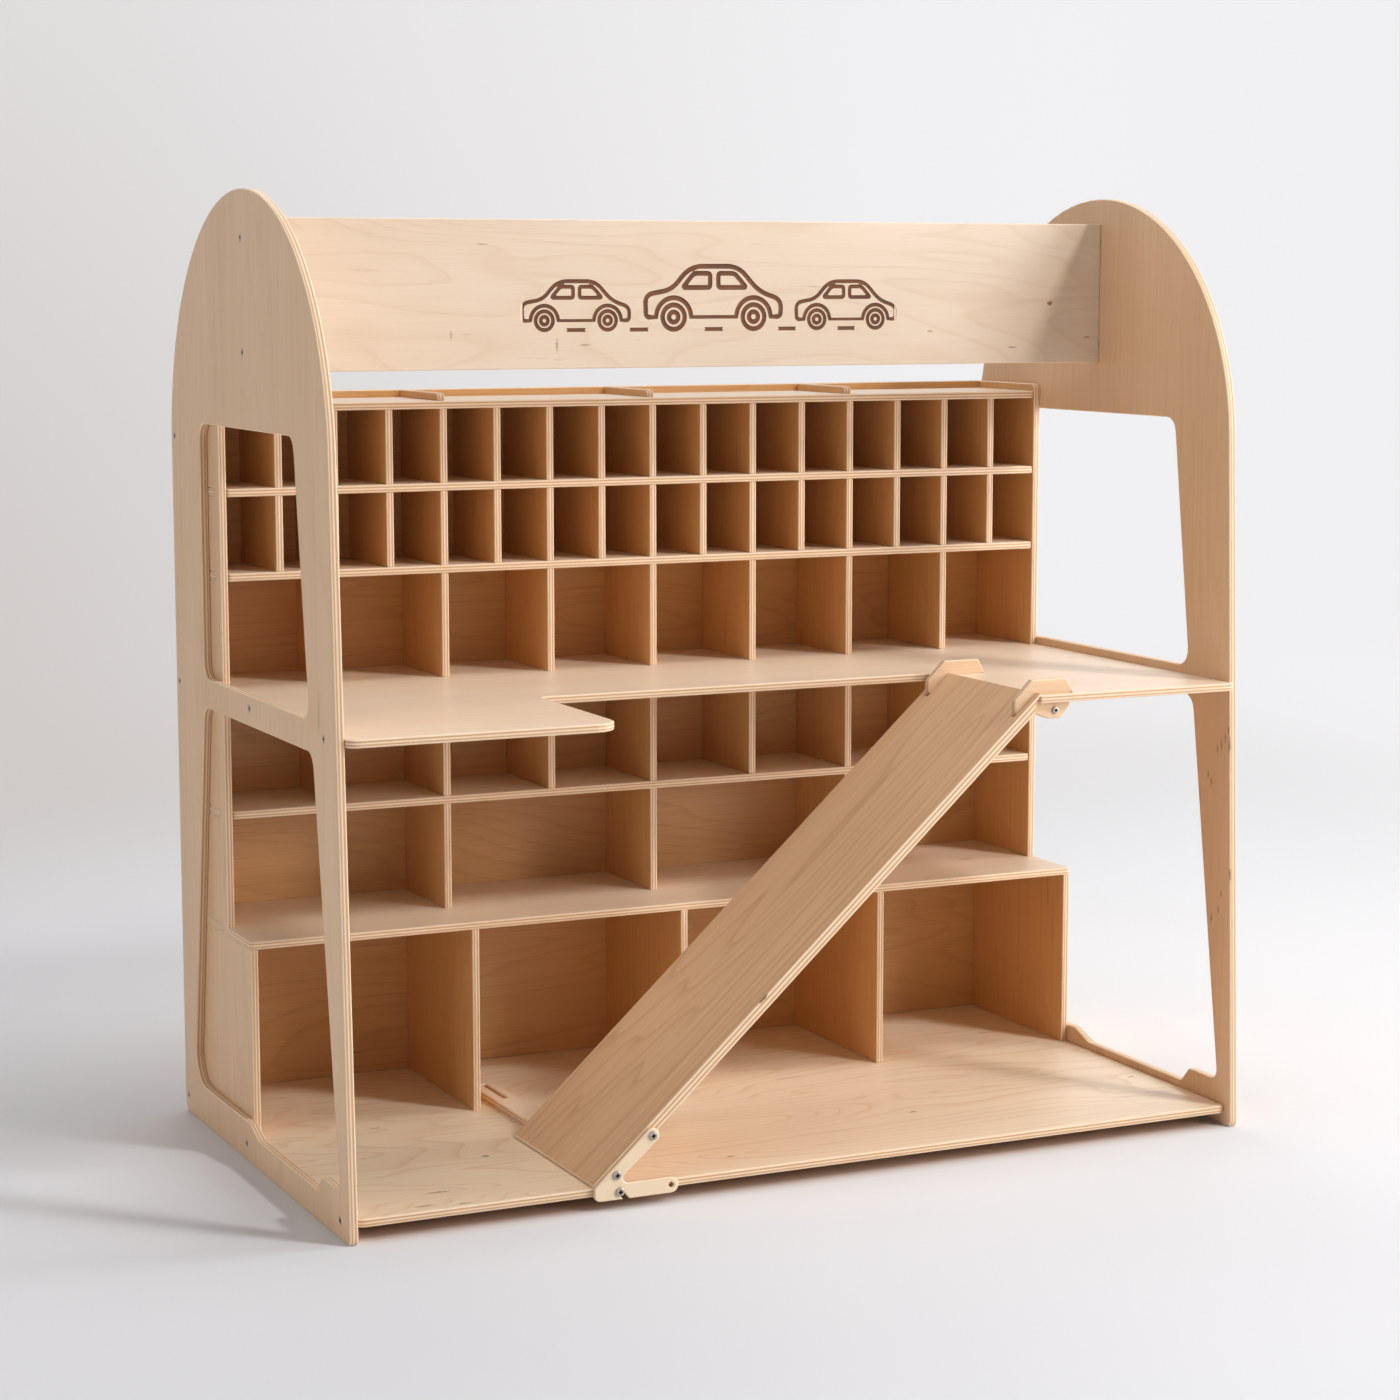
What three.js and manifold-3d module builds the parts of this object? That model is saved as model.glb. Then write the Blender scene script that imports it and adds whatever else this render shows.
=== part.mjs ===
// Toy parking garage: a plywood shelf case for small cars with a hinged ramp.
// Millimetres, +X to the right, +Y to the back, +Z up. The object stands on z = 0,
// and places along Y are counted from the front of the outer sides.
import * as THREE from 'three';
import * as BufferGeometryUtils from 'three/addons/utils/BufferGeometryUtils.js';
import Module from 'manifold-3d';

const wasm = await Module();
wasm.setup();

// Driving dimensions of the whole
const width = 794;
const depth = 438;
const height = 786;
const board = 7;          // plywood of the outer sides, the sign and the back panel
const rampBoard = 9;
const ply = 6.5;          // plywood of all the rest: case sides, dividers, shelves, deck, base and cheeks
const glueLine = 0.15;    // gap between two faces that are glued together
const slideFit = 0.3;     // gap between a piece and the slot or hole that takes it
const softEdge = 0.8;     // chamfer along every plywood edge
const easedCorner = 1.6;  // radius of the small corners of deck, cheeks and bracket
const overrun = 2;        // how far a cut runs past the piece that it cuts

// Counts
const smallCells = 16;
const filletSteps = 5;
const archSteps = 44;
const roundSteps = 12;
const turnedSteps = 16;
const nutSides = 6;

// Rows of the case, from the floor up: clear heights between the boards
const baseRise = 11;
const deepRow = 156.5;
const wideRow = 91;
const lowerRow = 96;
const upperRow = 89;
const secondRow = 63;
const firstRow = 62.5;
const railRise = 6.5;

// Places from front to back
const frontInset = 8;     // base, deck and ramp behind the outer sides' front edges
const backInset = 5;      // back panel ahead of the outer sides' rear edges
const caseDepth = 100;
const lowerCaseStep = 64; // the lowest row comes this far out of the case above it
const dividerSetback = 1;
const signSetback = 8.5;  // sign behind the middle of the outer sides
const finSetback = 6;
const caseBack = depth - backInset - board;
const caseFront = caseBack - caseDepth;
const lowerCaseFront = caseFront - lowerCaseStep;
const signFront = depth / 2 + signSetback;

// Heights of the boards
const baseTop = baseRise + ply;
const shelf5Bottom = baseTop + deepRow;
const shelf5Top = shelf5Bottom + ply;
const shelf4Bottom = shelf5Top + wideRow;
const shelf4Top = shelf4Bottom + ply;
const deckBottom = shelf4Top + lowerRow;
const deckTop = deckBottom + ply;
const shelf2Bottom = deckTop + upperRow;
const shelf2Top = shelf2Bottom + ply;
const shelf1Bottom = shelf2Top + secondRow;
const shelf1Top = shelf1Bottom + ply;
const topShelfBottom = shelf1Top + firstRow;
const topShelfTop = topShelfBottom + ply;
const railTop = topShelfTop + railRise;

// Half widths, and the pitch of the small cells
const outerFace = width / 2;
const innerFace = outerFace - board;
const caseFace = innerFace - ply;
const cellPitch = (caseFace * 2 + ply) / smallCells;
const lapDepth = (caseFront + caseBack) / 2;

// Outer sides
const archRadius = 207;
const archMiddle = depth - archRadius;
const archBase = height - archRadius;
const frontFootRadius = 5;
const rearFootRadius = 10;
const windowRadius = 14;
const windowDrop = 187.5; // top of the upper window below the top of the arch
const railAboveDeck = 7;
const railBelowDeck = 11;
// Front places are counted from the front edge, rear places from the case's front
const upperWindow = { rear: 30, frontTop: 106, frontFoot: 77 };
const lowerWindow = { rearTop: 32, rearFoot: 82, frontTop: 70.5, frontFoot: 21.5, footRadius: 26 };
const sill = { low: 24, high: 33, beforeCase: 12, stepRun: 24, stepRadius: 12 };
const sillBump = { top: 37, rear: 64, foot: 76, radius: 3, legRadius: 8 };
const panelScrewRadius = 3.3;
const signScrewInset = 16;
const deckScrewPlaces = [44, 230];
const baseScrewPlaces = [23, 260];
const backScrewRises = { overDeck: 2.5, overArchBase: 6 };

// Sign board and tabs
const signHeight = 121;
const signDrop = 22;      // sign's top edge below the top of the arch
const signBottom = height - signDrop - signHeight;
const tabInset = 14;
const tabLength = 45;
const tabFront = caseFront + tabInset;
const finStraight = 1.5;  // upright part of a fin's front edge under its round corner
const sideTopRadius = railRise - finStraight;
const shelfCornerRadius = 3;

// Deck cut-out and board corners
const cutLeft = -170;
const cutRight = 201;
const cutBack = 174;
const prongRadius = 20;
const cutCornerRadius = 6;
const leftCornerRadius = 9;
const rightCornerRadius = 4;

// Ramp: its top face starts a little above the deck's edge and comes down to the base board
const rampRun = 400;
const rampRise = 2;
const rampGap = 0.4;
const rampRearGap = 3;
const toeBlunt = 3;
const slope = Math.atan2(deckTop + rampRise - baseTop, rampRun);
const rampFront = frontInset;
const rampRear = cutBack - rampRearGap;
const toeX = cutRight - rampRun;

// Ramp pivot: a bolt below the deck, through two cheeks
const pivotInset = 17.5;
const pivotDrop = 7;
const boltRadius = 1.5;
const boltHead = { radius: 2.8, thickness: 1.8 };
const boltNut = { radius: 3.2, thickness: 2.4, edge: 0.3 };
const boltEnd = 1;
const pivotX = cutRight + pivotInset;
const pivotZ = deckBottom - pivotDrop;
const rampEndRadius = Math.hypot(pivotInset, pivotDrop + ply) + rampGap;
const rampTopOffset = pivotInset * Math.sin(slope) + (pivotDrop + ply + rampRise) * Math.cos(slope);
const rampUnderOffset = rampTopOffset - rampBoard;

// Cheeks: sizes from the pivot
const cheekInset = 6.5;
const cheek = { reach: 37.5, noseLow: -1.8, noseHigh: 9.2, noseRadius: 3.5, cut: 16, rise: 12 };
const cheekTail = { reach: 14.3, shoulder: 3.5 };
const lug = { drop: 7, half: 5.9, lead: 13 };
const cheekFronts = [rampFront + cheekInset, rampRear - cheekInset - ply];

// Hinge blocks under the ramp
const eyeGap = 0.4;
const eyeRadius = pivotDrop - eyeGap;
const armTopShare = 0.66;
const hingeBlock = { thickness: 18, reach: 62, fromCheek: 41 };
const padStart = rampEndRadius + overrun;

// Foot bracket on the front edges of ramp and base
const bracketThickness = 5;
const foot = { legReach: 63.5, legRadius: 5.8, edgeGap: 0.5, armReach: 67, armRadius: 6.4, fillet: 4 };
const footCorner = { inset: 2, radius: 5 };
const footScrew = { radius: 1.8, headRadius: 3.5, headThickness: 1.5, length: 14 };
const footScrewPitch = 41.5;
const hookX = 23;
const lockHoleRadius = 2.2;
const legDepth = foot.edgeGap + foot.legRadius;
const armZ = baseTop - ply / 2;

// Stop strip on the base board, behind the ramp's toe and beside the first main divider
const strip = { fromDivider: 13.625, width: 22, gap: 4, length: 165, height: 6.5, cornerRadius: 2 };
const stripSlot = { rearInset: 20, length: 52, width: 4 };

// Materials
const birch = new THREE.MeshStandardMaterial({ color: 0xe2c9a2, roughness: 0.6, metalness: 0 });
const warmBirch = new THREE.MeshStandardMaterial({ color: 0xd8b98d, roughness: 0.6, metalness: 0 });
const paleBirch = new THREE.MeshStandardMaterial({ color: 0xecdcbc, roughness: 0.6, metalness: 0 });
const steel = new THREE.MeshStandardMaterial({ color: 0xb9bcc0, roughness: 0.3, metalness: 1 });

// Points of an arc, both ends included
function arcPoints(x, y, radius, from, to, steps = filletSteps) {
  const points = [];
  for (let i = 0; i <= steps; i += 1) {
    const angle = from + ((to - from) * i) / steps;
    points.push(new THREE.Vector2(x + radius * Math.cos(angle), y + radius * Math.sin(angle)));
  }
  return points;
}

// Arc that rounds one corner of an outline
function cornerPoints(before, corner, after, radius) {
  const back = before.clone().sub(corner).normalize();
  const ahead = after.clone().sub(corner).normalize();
  const half = Math.acos(THREE.MathUtils.clamp(back.dot(ahead), -1, 1)) / 2;
  const toCentre = back.clone().add(ahead).normalize().multiplyScalar(radius / Math.sin(half));
  const centre = corner.clone().add(toCentre);
  const run = radius / Math.tan(half);
  const start = corner.clone().addScaledVector(back, run).sub(centre);
  const end = corner.clone().addScaledVector(ahead, run).sub(centre);
  const turn = Math.atan2(start.cross(end), start.dot(end));
  return arcPoints(centre.x, centre.y, radius, start.angle(), start.angle() + turn);
}

// Outline through corners [x, y] or [x, y, radius]
function outline(corners) {
  const at = corners.map(([x, y]) => new THREE.Vector2(x, y));
  const count = corners.length;
  return corners.flatMap(([, , radius = 0], i) => {
    if (radius === 0) return [at[i]];
    return cornerPoints(at[(i + count - 1) % count], at[i], at[(i + 1) % count], radius);
  });
}

function rectangle(left, bottom, right, top, radius = 0) {
  return outline([[left, bottom, radius], [right, bottom, radius], [right, top, radius], [left, top, radius]]);
}

// Plate of an outline with chamfered edges; it fills 0 to thickness along the third axis
function plateGeometry(points, holes, thickness, edge = softEdge) {
  const shape = new THREE.Shape(points);
  shape.holes = holes.map((hole) => new THREE.Path(hole));
  const geometry = new THREE.ExtrudeGeometry(shape, {
    depth: thickness - edge * 2,
    bevelEnabled: true,
    bevelThickness: edge,
    bevelSize: edge,
    bevelOffset: -edge,
    bevelSegments: 1,
  });
  return geometry.translate(0, 0, edge);
}

// Closed geometry as a solid that can be cut, and back
function toSolid(geometry) {
  const plain = geometry.clone();
  plain.deleteAttribute('normal');
  plain.deleteAttribute('uv');
  const merged = BufferGeometryUtils.mergeVertices(plain);
  const vertProperties = new Float32Array(merged.attributes.position.array);
  const triVerts = new Uint32Array(merged.index.array);
  return new wasm.Manifold(new wasm.Mesh({ numProp: 3, vertProperties, triVerts }));
}

function toGeometry(solid) {
  const mesh = solid.getMesh();
  const geometry = new THREE.BufferGeometry();
  geometry.setAttribute('position', new THREE.BufferAttribute(new Float32Array(mesh.vertProperties), 3));
  geometry.setIndex(new THREE.BufferAttribute(new Uint32Array(mesh.triVerts), 1));
  geometry.computeVertexNormals();
  return geometry;
}

function cutAway(geometry, cutters) {
  const solid = cutters.reduce((rest, cutter) => rest.subtract(toSolid(cutter)), toSolid(geometry));
  return toGeometry(solid);
}

// Directions in which a plate's outline is drawn and extruded
const xAxis = new THREE.Vector3(1, 0, 0);
const yAxis = new THREE.Vector3(0, 1, 0);
const zAxis = new THREE.Vector3(0, 0, 1);
const acrossWidth = new THREE.Matrix4().makeBasis(yAxis, zAxis, xAxis);
const towardFront = new THREE.Matrix4().makeBasis(xAxis, zAxis, yAxis.clone().negate());

const garage = new THREE.Group();
const fromFront = new THREE.Group();
fromFront.position.y = -depth / 2;
garage.add(fromFront);

function addMesh(name, geometry, material, parent = fromFront) {
  const mesh = new THREE.Mesh(geometry, material);
  mesh.name = name;
  parent.add(mesh);
  return mesh;
}

// Level board: outline in X and Y, lying on the given height
function addBoard(name, points, holes, thickness, bottom, material) {
  const mesh = addMesh(name, plateGeometry(points, holes, thickness), material);
  mesh.position.z = bottom;
  return mesh;
}

// Upright panel across the width: outline in Y and Z, its left face at x = left
function addPanel(name, points, holes, thickness, left, material) {
  const mesh = addMesh(name, plateGeometry(points, holes, thickness), material);
  mesh.setRotationFromMatrix(acrossWidth);
  mesh.position.x = left;
  return mesh;
}

// Upright panel that faces the front: outline in X and Z, its back face at y = back
function addFacing(name, points, holes, thickness, back, material) {
  const mesh = addMesh(name, plateGeometry(points, holes, thickness), material);
  mesh.setRotationFromMatrix(towardFront);
  mesh.position.y = back;
  return mesh;
}

// X of divider number k, counted in small cells from the left case side
function dividerX(k) {
  return (k - smallCells / 2) * cellPitch;
}

const shelves = [
  { name: 'shelf_5', bottom: shelf5Bottom, top: shelf5Top },
  { name: 'shelf_4', bottom: shelf4Bottom, top: shelf4Top },
  { name: 'deck', bottom: deckBottom, top: deckTop },
  { name: 'shelf_2', bottom: shelf2Bottom, top: shelf2Top },
  { name: 'shelf_1', bottom: shelf1Bottom, top: shelf1Top },
  { name: 'top_shelf', bottom: topShelfBottom, top: topShelfTop },
];
const mainDividers = [4, 8, 12];
const rowDividers = [2, 6, 10, 14];
const allDividers = Array.from({ length: smallCells - 1 }, (_, i) => i + 1);
const smallDividers = allDividers.filter((k) => !mainDividers.includes(k));

// Angle of the straight front edge, which leans back from the foot's corner and touches the arch
function frontLean() {
  const rise = archBase - frontFootRadius;
  return Math.atan2(rise, archMiddle) + Math.asin(archRadius / Math.hypot(archMiddle, rise));
}

// Outer sides with arch, two windows and screw holes
function outerSideOutline() {
  const archEnd = frontLean() + Math.PI / 2;
  return [
    ...arcPoints(frontFootRadius, frontFootRadius, frontFootRadius, Math.PI, Math.PI * 1.5),
    ...arcPoints(depth - rearFootRadius, rearFootRadius, rearFootRadius, -Math.PI / 2, 0),
    ...arcPoints(archMiddle, archBase, archRadius, 0, archEnd, archSteps),
  ];
}

function upperWindowOutline() {
  const bottom = deckTop + railAboveDeck;
  const top = height - windowDrop;
  const rear = caseFront + upperWindow.rear;
  return outline([
    [rear, bottom, windowRadius],
    [rear, top, windowRadius],
    [upperWindow.frontTop, top, windowRadius],
    [upperWindow.frontFoot, bottom, windowRadius],
  ]);
}

function lowerWindowOutline() {
  const top = deckBottom - railBelowDeck;
  const stepRear = lowerCaseFront - sill.beforeCase;
  return outline([
    [caseFront + lowerWindow.rearTop, top, windowRadius],
    [lowerWindow.frontTop, top, windowRadius],
    [lowerWindow.frontFoot, sillBump.top, sillBump.legRadius],
    [sillBump.rear, sillBump.top, sillBump.radius],
    [sillBump.foot, sill.low, sillBump.radius],
    [stepRear - sill.stepRun, sill.low, sill.stepRadius],
    [stepRear, sill.high, sill.stepRadius],
    [caseFront + lowerWindow.rearFoot, sill.high, lowerWindow.footRadius],
  ]);
}

function panelScrewPlaces() {
  const signMiddle = signFront + board / 2;
  const backMiddle = caseBack + board / 2;
  const deckMiddle = deckBottom + ply / 2;
  const baseMiddle = baseRise + ply / 2;
  return [
    [signMiddle, signBottom + signScrewInset],
    [signMiddle, signBottom + signHeight - signScrewInset],
    [backMiddle, deckBottom + backScrewRises.overDeck],
    [backMiddle, archBase + backScrewRises.overArchBase],
    ...deckScrewPlaces.map((y) => [y, deckMiddle]),
    ...[...baseScrewPlaces, backMiddle].map((y) => [y, baseMiddle]),
  ];
}

function addOuterSides() {
  const screwHoles = panelScrewPlaces().map(([y, z]) => {
    return arcPoints(y, z, panelScrewRadius, 0, Math.PI * 2, roundSteps).slice(1);
  });
  const holes = [upperWindowOutline(), lowerWindowOutline(), ...screwHoles];
  addPanel('outer_side_left', outerSideOutline(), holes, board, -outerFace, birch);
  addPanel('outer_side_right', outerSideOutline(), holes, board, innerFace, birch);
}

// Stepped case sides, with a hole for each shelf's tab
function addCaseSides() {
  const side = outline([
    [lowerCaseFront + glueLine, baseTop + glueLine],
    [caseBack - glueLine, baseTop + glueLine],
    [caseBack - glueLine, railTop],
    [caseFront, railTop, sideTopRadius],
    [caseFront, shelf5Bottom - glueLine],
    [lowerCaseFront + glueLine, shelf5Bottom - glueLine],
  ]);
  const tabHoles = shelves.map(({ bottom, top }) => rectangle(
    tabFront - slideFit,
    bottom - slideFit,
    tabFront + tabLength + slideFit,
    top + slideFit,
  ));
  addPanel('case_side_left', side, tabHoles, ply, glueLine - innerFace, warmBirch);
  addPanel('case_side_right', side, tabHoles, ply, caseFace - glueLine, warmBirch);
}

// Rear edge of a shelf, right to left, with a half-lap slot at each listed divider
function lappedEdge(numbers) {
  const rear = caseBack - glueLine;
  const half = ply / 2 + slideFit / 2;
  const end = lapDepth - slideFit / 2;
  return [...numbers].reverse().flatMap((k) => {
    const x = dividerX(k);
    return [[x + half, rear], [x + half, end], [x - half, end], [x - half, rear]];
  });
}

// Shelf inside the case; a wide one has a front part that reaches the outer sides
function shelfOutline(frontCorners, numbers) {
  const side = caseFace - glueLine * 2;
  const tab = innerFace - glueLine;
  const rear = caseBack - glueLine;
  const tabRear = tabFront + tabLength;
  const rightEnd = [[side, tabFront], [tab, tabFront], [tab, tabRear], [side, tabRear], [side, rear]];
  const leftEnd = rightEnd.map(([x, y]) => [-x, y]).reverse();
  return outline([...frontCorners, ...rightEnd, ...lappedEdge(numbers), ...leftEnd]);
}

function narrowFront() {
  const side = caseFace - glueLine * 2;
  return [[-side, caseFront, shelfCornerRadius], [side, caseFront, shelfCornerRadius]];
}

// Front part of a wide board around the corners given for its front edge
function wideFront(frontEdge) {
  const side = caseFace - glueLine * 2;
  const end = innerFace - glueLine;
  const shoulder = caseFront - slideFit;
  return [[-side, shoulder], [-end, shoulder], ...frontEdge, [end, shoulder], [side, shoulder]];
}

// Deck front edge: left prong, cut-out, and the slots that take the cheeks
function deckFrontEdge() {
  const end = innerFace - glueLine;
  const slotEnd = pivotX + cheekTail.reach + slideFit;
  const cheekSlots = [...cheekFronts].reverse().flatMap((front) => {
    const near = front - slideFit;
    const far = front + ply + slideFit;
    return [[cutRight, far], [slotEnd, far], [slotEnd, near], [cutRight, near]];
  });
  return [
    [-end, frontInset, leftCornerRadius],
    [cutLeft, frontInset, prongRadius],
    [cutLeft, cutBack, cutCornerRadius],
    [cutRight, cutBack, cutCornerRadius],
    ...cheekSlots,
    [cutRight, frontInset, easedCorner],
    [end, frontInset, rightCornerRadius],
  ];
}

function addShelves() {
  const end = innerFace - glueLine;
  const plainEdge = [[-end, lowerCaseFront, shelfCornerRadius], [end, lowerCaseFront, shelfCornerRadius]];
  const kinds = {
    shelf_5: { front: wideFront(plainEdge), lapped: mainDividers },
    shelf_4: { front: narrowFront(), lapped: mainDividers },
    deck: { front: wideFront(deckFrontEdge()), lapped: mainDividers },
    shelf_2: { front: narrowFront(), lapped: mainDividers },
    shelf_1: { front: narrowFront(), lapped: allDividers },
    top_shelf: { front: narrowFront(), lapped: mainDividers },
  };
  for (const { name, bottom, top } of shelves) {
    const { front, lapped } = kinds[name];
    addBoard(name, shelfOutline(front, lapped), [], top - bottom, bottom, birch);
  }
}

// Base board, drilled for the screw that the foot bracket hooks over
function addBase() {
  const end = innerFace - glueLine;
  const points = outline([
    [-end, frontInset, leftCornerRadius],
    [end, frontInset, rightCornerRadius],
    [end, caseBack + board],
    [-end, caseBack + board],
  ]);
  const solid = plateGeometry(points, [], ply).translate(0, 0, baseRise);
  const drill = crossPin(footScrew.radius + slideFit, footScrew.length * 2);
  drill.translate(toeX + hookX, frontInset, armZ);
  addMesh('base_board', cutAway(solid, [drill]), birch);
}

// Round bar along Y, centred on the origin
function crossPin(radius, length, steps = turnedSteps) {
  return new THREE.CylinderGeometry(radius, radius, length, steps);
}

function addBackPanel() {
  const end = innerFace - glueLine;
  const points = rectangle(-end, baseTop + glueLine, end, railTop);
  addFacing('back_panel', points, [], board, caseBack + board, warmBirch);
}

function addSign() {
  const end = innerFace - glueLine;
  const points = rectangle(-end, signBottom, end, signBottom + signHeight);
  addFacing('sign_board', points, [], board, signFront + board, birch);
}

// Front edge of a divider, top down, with a half-lap slot at each listed shelf
function slottedFront(crossed, frontAbove, frontBelow) {
  const end = lapDepth + slideFit / 2;
  return [...crossed].reverse().flatMap(({ name, bottom, top }) => [
    [frontAbove(name), top + slideFit / 2],
    [end, top + slideFit / 2],
    [end, bottom - slideFit / 2],
    [frontBelow(name), bottom - slideFit / 2],
  ]);
}

function addMainDividers() {
  const front = caseFront + dividerSetback;
  const lowerFront = lowerCaseFront + dividerSetback;
  const finFront = caseFront + finSetback;
  const above = (name) => (name === 'top_shelf' ? finFront : front);
  const below = (name) => (name === 'shelf_5' ? lowerFront : front);
  const points = outline([
    [lowerFront, baseTop + glueLine],
    [caseBack - glueLine, baseTop + glueLine],
    [caseBack - glueLine, railTop],
    [finFront, railTop, sideTopRadius],
    ...slottedFront(shelves, above, below),
  ]);
  mainDividers.forEach((k, i) => {
    addPanel(`main_divider_${i + 1}`, points, [], ply, dividerX(k) - ply / 2, warmBirch);
  });
}

function addSmallDividers() {
  const front = () => caseFront + dividerSetback;
  const crossed = shelves.filter(({ name }) => name === 'shelf_1');
  const points = outline([
    [front(), shelf2Top + glueLine],
    [caseBack - glueLine, shelf2Top + glueLine],
    [caseBack - glueLine, topShelfBottom - glueLine],
    [front(), topShelfBottom - glueLine],
    ...slottedFront(crossed, front, front),
  ]);
  smallDividers.forEach((k, i) => {
    addPanel(`small_divider_${i + 1}`, points, [], ply, dividerX(k) - ply / 2, warmBirch);
  });
}

// Dividers of one row, standing between two boards
function addRowDividers(label, bottom, top) {
  const points = rectangle(
    caseFront + dividerSetback,
    bottom + glueLine,
    caseBack - glueLine,
    top - glueLine,
  );
  rowDividers.forEach((k, i) => {
    addPanel(`${label}_divider_${i + 1}`, points, [], ply, dividerX(k) - ply / 2, warmBirch);
  });
}

// Strip with a slot, lying on the base board behind the ramp's toe
function addStopStrip() {
  const left = dividerX(mainDividers[0]) + ply / 2 + strip.fromDivider;
  const front = rampRear + strip.gap;
  const rear = front + strip.length;
  const points = rectangle(left, front, left + strip.width, rear, strip.cornerRadius);
  const middle = left + strip.width / 2;
  const slotRear = rear - stripSlot.rearInset;
  const slot = rectangle(
    middle - stripSlot.width / 2,
    slotRear - stripSlot.length,
    middle + stripSlot.width / 2,
    slotRear,
  );
  addBoard('stop_strip', points, [slot], strip.height, baseTop + glueLine, birch);
}

// Ramp group: turned about the pivot, +X up the slope, +Z square to the ramp
const ramp = new THREE.Group();
ramp.position.set(pivotX, 0, pivotZ);
ramp.rotation.y = -slope;
fromFront.add(ramp);

// Place in the ramp group, given a world height and a distance square to the ramp
function alongAtHeight(z, offset) {
  return (z - pivotZ - offset * Math.cos(slope)) / Math.sin(slope);
}

// Side view of the ramp board before its end is hollowed: blunt toe flat on the base
function rampProfile() {
  const endX = (rampTopOffset * Math.sin(slope) - pivotInset - rampGap) / Math.cos(slope);
  const noseX = alongAtHeight(baseTop + toeBlunt, rampTopOffset);
  const drop = toeBlunt - slideFit;
  const soleX = alongAtHeight(baseTop + slideFit, rampUnderOffset);
  return [
    new THREE.Vector2(endX, rampTopOffset),
    new THREE.Vector2(endX, rampUnderOffset),
    new THREE.Vector2(soleX, rampUnderOffset),
    new THREE.Vector2(noseX - drop * Math.sin(slope), rampTopOffset - drop * Math.cos(slope)),
    new THREE.Vector2(noseX, rampTopOffset),
  ].reverse();
}

// Slots in the ramp's top end, round about the pivot, that clear the cheeks through the swing
function rampSlotCutters() {
  const reach = Math.hypot(cheek.reach, cheek.noseHigh) + slideFit;
  const slotWidth = ply + slideFit * 2;
  return cheekFronts.map((front) => {
    return crossPin(reach, slotWidth, archSteps).translate(0, front + ply / 2, 0);
  });
}

// Distance up the slope from the ramp group's origin of a place counted from the toe
function fromToe(distance) {
  return alongAtHeight(baseTop, rampTopOffset) + distance;
}

const legScrewPlaces = [foot.legReach, foot.legReach - footScrewPitch];

function addRampBoard() {
  const rampWidth = rampRear - rampFront;
  const solid = plateGeometry(rampProfile(), [], rampWidth);
  solid.applyMatrix4(towardFront).translate(0, rampRear, 0);
  const hollow = crossPin(rampEndRadius, rampWidth + overrun * 2, archSteps);
  hollow.translate(0, rampFront + rampWidth / 2, 0);
  const drills = legScrewPlaces.map((distance) => {
    const drill = crossPin(footScrew.radius + slideFit, footScrew.length * 2);
    return drill.translate(fromToe(distance), rampFront, rampTopOffset - legDepth);
  });
  addMesh('ramp_board', cutAway(solid, [hollow, ...rampSlotCutters(), ...drills]), birch, ramp);
}

// Blocks under the ramp whose eyes turn on the bolt
function addHingeBlocks() {
  const armTop = eyeRadius * armTopShare;
  const padTop = rampUnderOffset - slideFit;
  const points = [
    new THREE.Vector2(-hingeBlock.reach, -eyeRadius),
    ...arcPoints(0, 0, eyeRadius, -Math.PI / 2, Math.PI - Math.asin(armTopShare), roundSteps),
    new THREE.Vector2(-padStart, armTop),
    new THREE.Vector2(-padStart, padTop),
    new THREE.Vector2(-hingeBlock.reach, padTop),
  ];
  const eye = arcPoints(0, 0, boltRadius + slideFit, 0, Math.PI * 2, roundSteps).slice(1);
  const [firstCheek, lastCheek] = cheekFronts;
  const backs = {
    hinge_block_front: firstCheek + ply + hingeBlock.fromCheek + hingeBlock.thickness,
    hinge_block_rear: lastCheek - hingeBlock.fromCheek,
  };
  for (const [name, back] of Object.entries(backs)) {
    const block = plateGeometry(points, [eye], hingeBlock.thickness);
    addMesh(name, block.applyMatrix4(towardFront).translate(0, back, 0), birch, ramp);
  }
}

// Cheeks in the deck's slots, sizes counted from the pivot
function addCheeks() {
  const deckLevel = pivotDrop + ply + glueLine;
  const top = deckLevel + cheek.rise;
  const { reach: tail, shoulder } = cheekTail;
  const points = outline([
    [-cheek.reach, cheek.noseLow, cheek.noseRadius],
    [-lug.half - lug.lead, cheek.noseLow],
    [-lug.half, -lug.drop, easedCorner],
    [lug.half, -lug.drop, easedCorner],
    [tail, pivotDrop / 2, easedCorner],
    [tail, deckLevel],
    [tail + shoulder, deckLevel],
    [tail - shoulder, top, easedCorner],
    [cheek.cut - cheek.reach, top, easedCorner],
    [-cheek.reach, cheek.noseHigh, cheek.noseRadius],
  ]);
  const hole = arcPoints(0, 0, boltRadius + slideFit, 0, Math.PI * 2, roundSteps).slice(1);
  cheekFronts.forEach((front, i) => {
    const name = ['ramp_cheek_front', 'ramp_cheek_rear'][i];
    const mesh = addFacing(name, points, [hole], ply, front + ply, paleBirch);
    mesh.position.x = pivotX;
    mesh.position.z = pivotZ;
  });
}

// Turned piece along Y from a profile of [radius, y]
function turned(profile) {
  return new THREE.LatheGeometry(profile.map(([r, y]) => new THREE.Vector2(r, y)), turnedSteps);
}

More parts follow.
